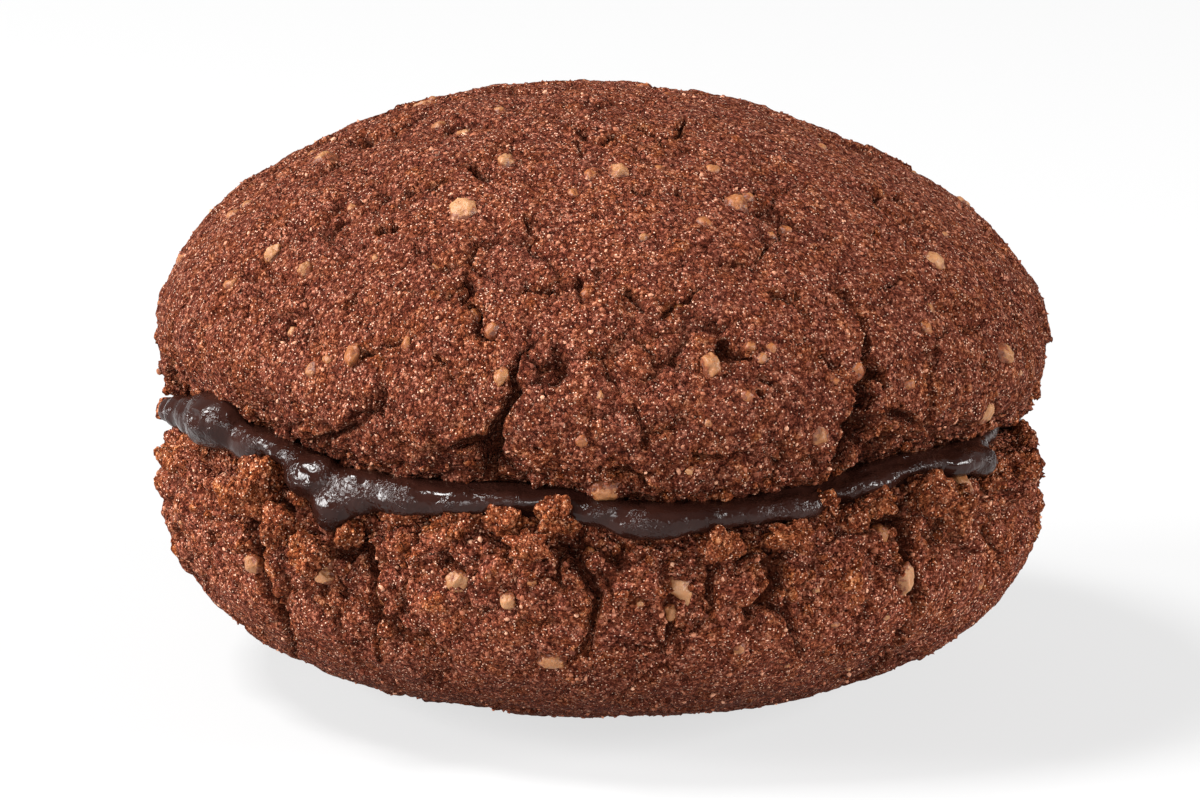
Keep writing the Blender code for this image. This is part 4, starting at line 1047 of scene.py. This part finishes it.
def nut():
    """Chopped, toasted nut: cream to orange brown from piece to piece, mottled, dough sticking to it, painted
    shade at its foot.
    """
    n = Nodes("nut_pieces")
    place = n.out("TexCoord", output=3)
    toast = n.label("toast")
    stuck_and_foot_shade = n.label("stuck_and_foot_shade")
    mottle = n.noise(place, 0.7 * MM, 4.0)
    dust = n.noise(place, 0.26 * MM, 3.0)
    base = n.ramp(toast, (0.0, (0.38, 0.186, 0.084)), (0.35, (0.29, 0.130, 0.054)),
                  (0.7, (0.26, 0.092, 0.029)), (1.0, (0.23, 0.064, 0.016)))
    base = n.mix(n.spread(mottle, 0.45, 0.70, 0.0, 0.60), base, (0.24, 0.092, 0.030))
    # Darker orange brown towards the foot: partly dough on the nut, partly painted shade where it meets the
    # crust.
    base = n.mix(n.spread(stuck_and_foot_shade, 0.0, 1.0, 0.0, 0.75), base, (0.20, 0.062, 0.018))
    crumb = n.ramp(dust, (0.40, (0.070, 0.014, 0.005)), (0.60, (0.160, 0.040, 0.014)),
                   (0.75, (0.24, 0.074, 0.028)))
    cover = n.math("ADD", dust, n.math("MULTIPLY", toast, 0.08))
    cover = n.math("ADD", cover, n.math("MULTIPLY", stuck_and_foot_shade, 0.35))
    base = n.mix(n.spread(cover, 0.66, 0.76, 0.0, 0.90), base, crumb)
    n.set(base_color=base, roughness=0.42, specular_ior_level=0.30)
    n.set(subsurface_weight=0.30, subsurface_radius=(1.0, 0.55, 0.30), subsurface_scale=0.35 * MM)
    n.bump(0.8, 0.12 * MM, n.math("ADD", dust, mottle))
    return n.material


def sugar():
    """Loose grains of the crust, mostly brown, some of them pale and glinting."""
    n = Nodes("crust_grains")
    tint = n.label("tint")
    base = n.ramp(tint, (0.0, (0.086, 0.0185, 0.0080)), (0.50, (0.170, 0.044, 0.020)),
                  (0.80, (0.31, 0.102, 0.050)), (1.0, (0.60, 0.31, 0.195)))
    n.set(base_color=base, roughness=n.spread(tint, 0.6, 1.0, 0.75, 0.35), specular_ior_level=0.20)
    return n.material


def chocolate():
    """Ganache: very dark brown and glossy, with faint streaks and fine wrinkles that break its highlights."""
    n = Nodes("dark_ganache")
    place = n.out("TexCoord", output=3)
    streaks = n.noise(place, 2.5 * MM, 4.0, Distortion=0.6)
    wrinkles = n.noise(place, 0.38 * MM, 3.0, Distortion=1.0)
    patches = n.noise(place, 1.6 * MM, 2.0)
    base = n.ramp(streaks, (0.3, (0.0145, 0.0042, 0.0028)), (0.7, (0.025, 0.0080, 0.0055)))
    n.set(base_color=base, roughness=n.spread(streaks, 0.3, 0.7, 0.08, 0.20), specular_ior_level=0.23)
    depth = n.math("MULTIPLY", wrinkles, n.spread(patches, 0.42, 0.60, 0.22, 1.3))
    n.bump(0.9, 0.15 * MM, depth)
    return n.material


def dress(obj, material, slot_name, *nodes):
    obj.data.materials.clear()
    obj.data.materials.append(material)
    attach(obj, "root")
    if nodes:
        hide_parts(*nodes)


def aim(obj, target):
    obj.rotation_euler = (target - obj.location).to_track_quat("-Z", "Y").to_euler()


def build_stage():
    """A plain white floor, a white surround, and soft lights from above, both sides and in front."""
    corners = FLOOR_HALF * np.array([(-1, -1, 0), (1, -1, 0), (1, 1, 0), (-1, 1, 0)])
    mesh = mesh_from("floor", corners, np.array([(0, 1, 2), (0, 2, 3)]))
    floor = link_object("floor", mesh)
    n = Nodes("floor_white")
    n.set(base_color=FLOOR_TONE, roughness=1.0, specular_ior_level=0.0)
    n.set(emission_color=(1, 1, 1, 1), emission_strength=FLOOR_GLOW)
    mesh.materials.append(n.material)
    world = bpy.data.worlds.new("studio")
    world.use_nodes = True
    colour, strength = world.node_tree.nodes["Background"].inputs[:2]
    colour.default_value = (1, 1, 1, 1)
    strength.default_value = SURROUND
    bpy.context.scene.world = world
    middle = Vector((0, 0, SEAM_HEIGHT))
    for name, place, size, energy in LIGHTS:
        light = bpy.data.lights.new(name, "AREA")
        light.energy = energy
        light.size = size
        lamp = link_object(name, light)
        lamp.location = place
        aim(lamp, middle)


def place_camera():
    data = bpy.data.cameras.new("camera")
    data.lens = CAMERA_LENS
    data.sensor_width = 36
    data.clip_start = 0.01
    camera = link_object("camera", data)
    target = Vector(CAMERA_TARGET)
    away = Vector((0, -math.cos(CAMERA_ELEVATION), math.sin(CAMERA_ELEVATION)))
    camera.location = target + CAMERA_DISTANCE * away
    aim(camera, target)
    camera.rotation_euler.rotate_axis("Z", CAMERA_ROLL)
    bpy.context.scene.camera = camera


def main():
    bpy.context.scene.view_settings.view_transform = "Standard"
    # The crumb finish is the dough made warmer and paler: partly the broken crumb's tone, partly painted
    # light.
    crumb_finish_with_light = dough("cocoa_crumb", warm=0.40, paler=1.14)
    dress(crust("top_crust", TOP), dough("cocoa_crust", paler=0.96), "cookie_dough", "top_cookie")
    # The lower crust is the same dough painted paler, as painted light on its less lit side.
    dress(crust("bottom_crust", BOTTOM), dough("lower_crust_painted_paler", paler=1.19), "cookie_dough", "bottom_cookie")
    dress(ganache(), chocolate(), "ganache", "ganache_filling")
    dress(joined("crumb_clods", clod_blobs(), "depth_shade"), crumb_finish_with_light, "cookie_dough")
    dress(joined("nut_bits", nut_blobs(), "toast", "stuck_and_foot_shade"), nut(), "cookie_dough")
    crumbs = scatter("loose_crumbs", 2, 0.16, LOOSE_CRUMBS)
    shade_smooth(crumbs.data)
    dress(crumbs, crumb_finish_with_light, "cookie_dough")
    dress(scatter("sugar_grains", 1, 0.2, LOOSE_GRAINS), sugar(), "cookie_dough")
    build_stage()
    place_camera()


main()
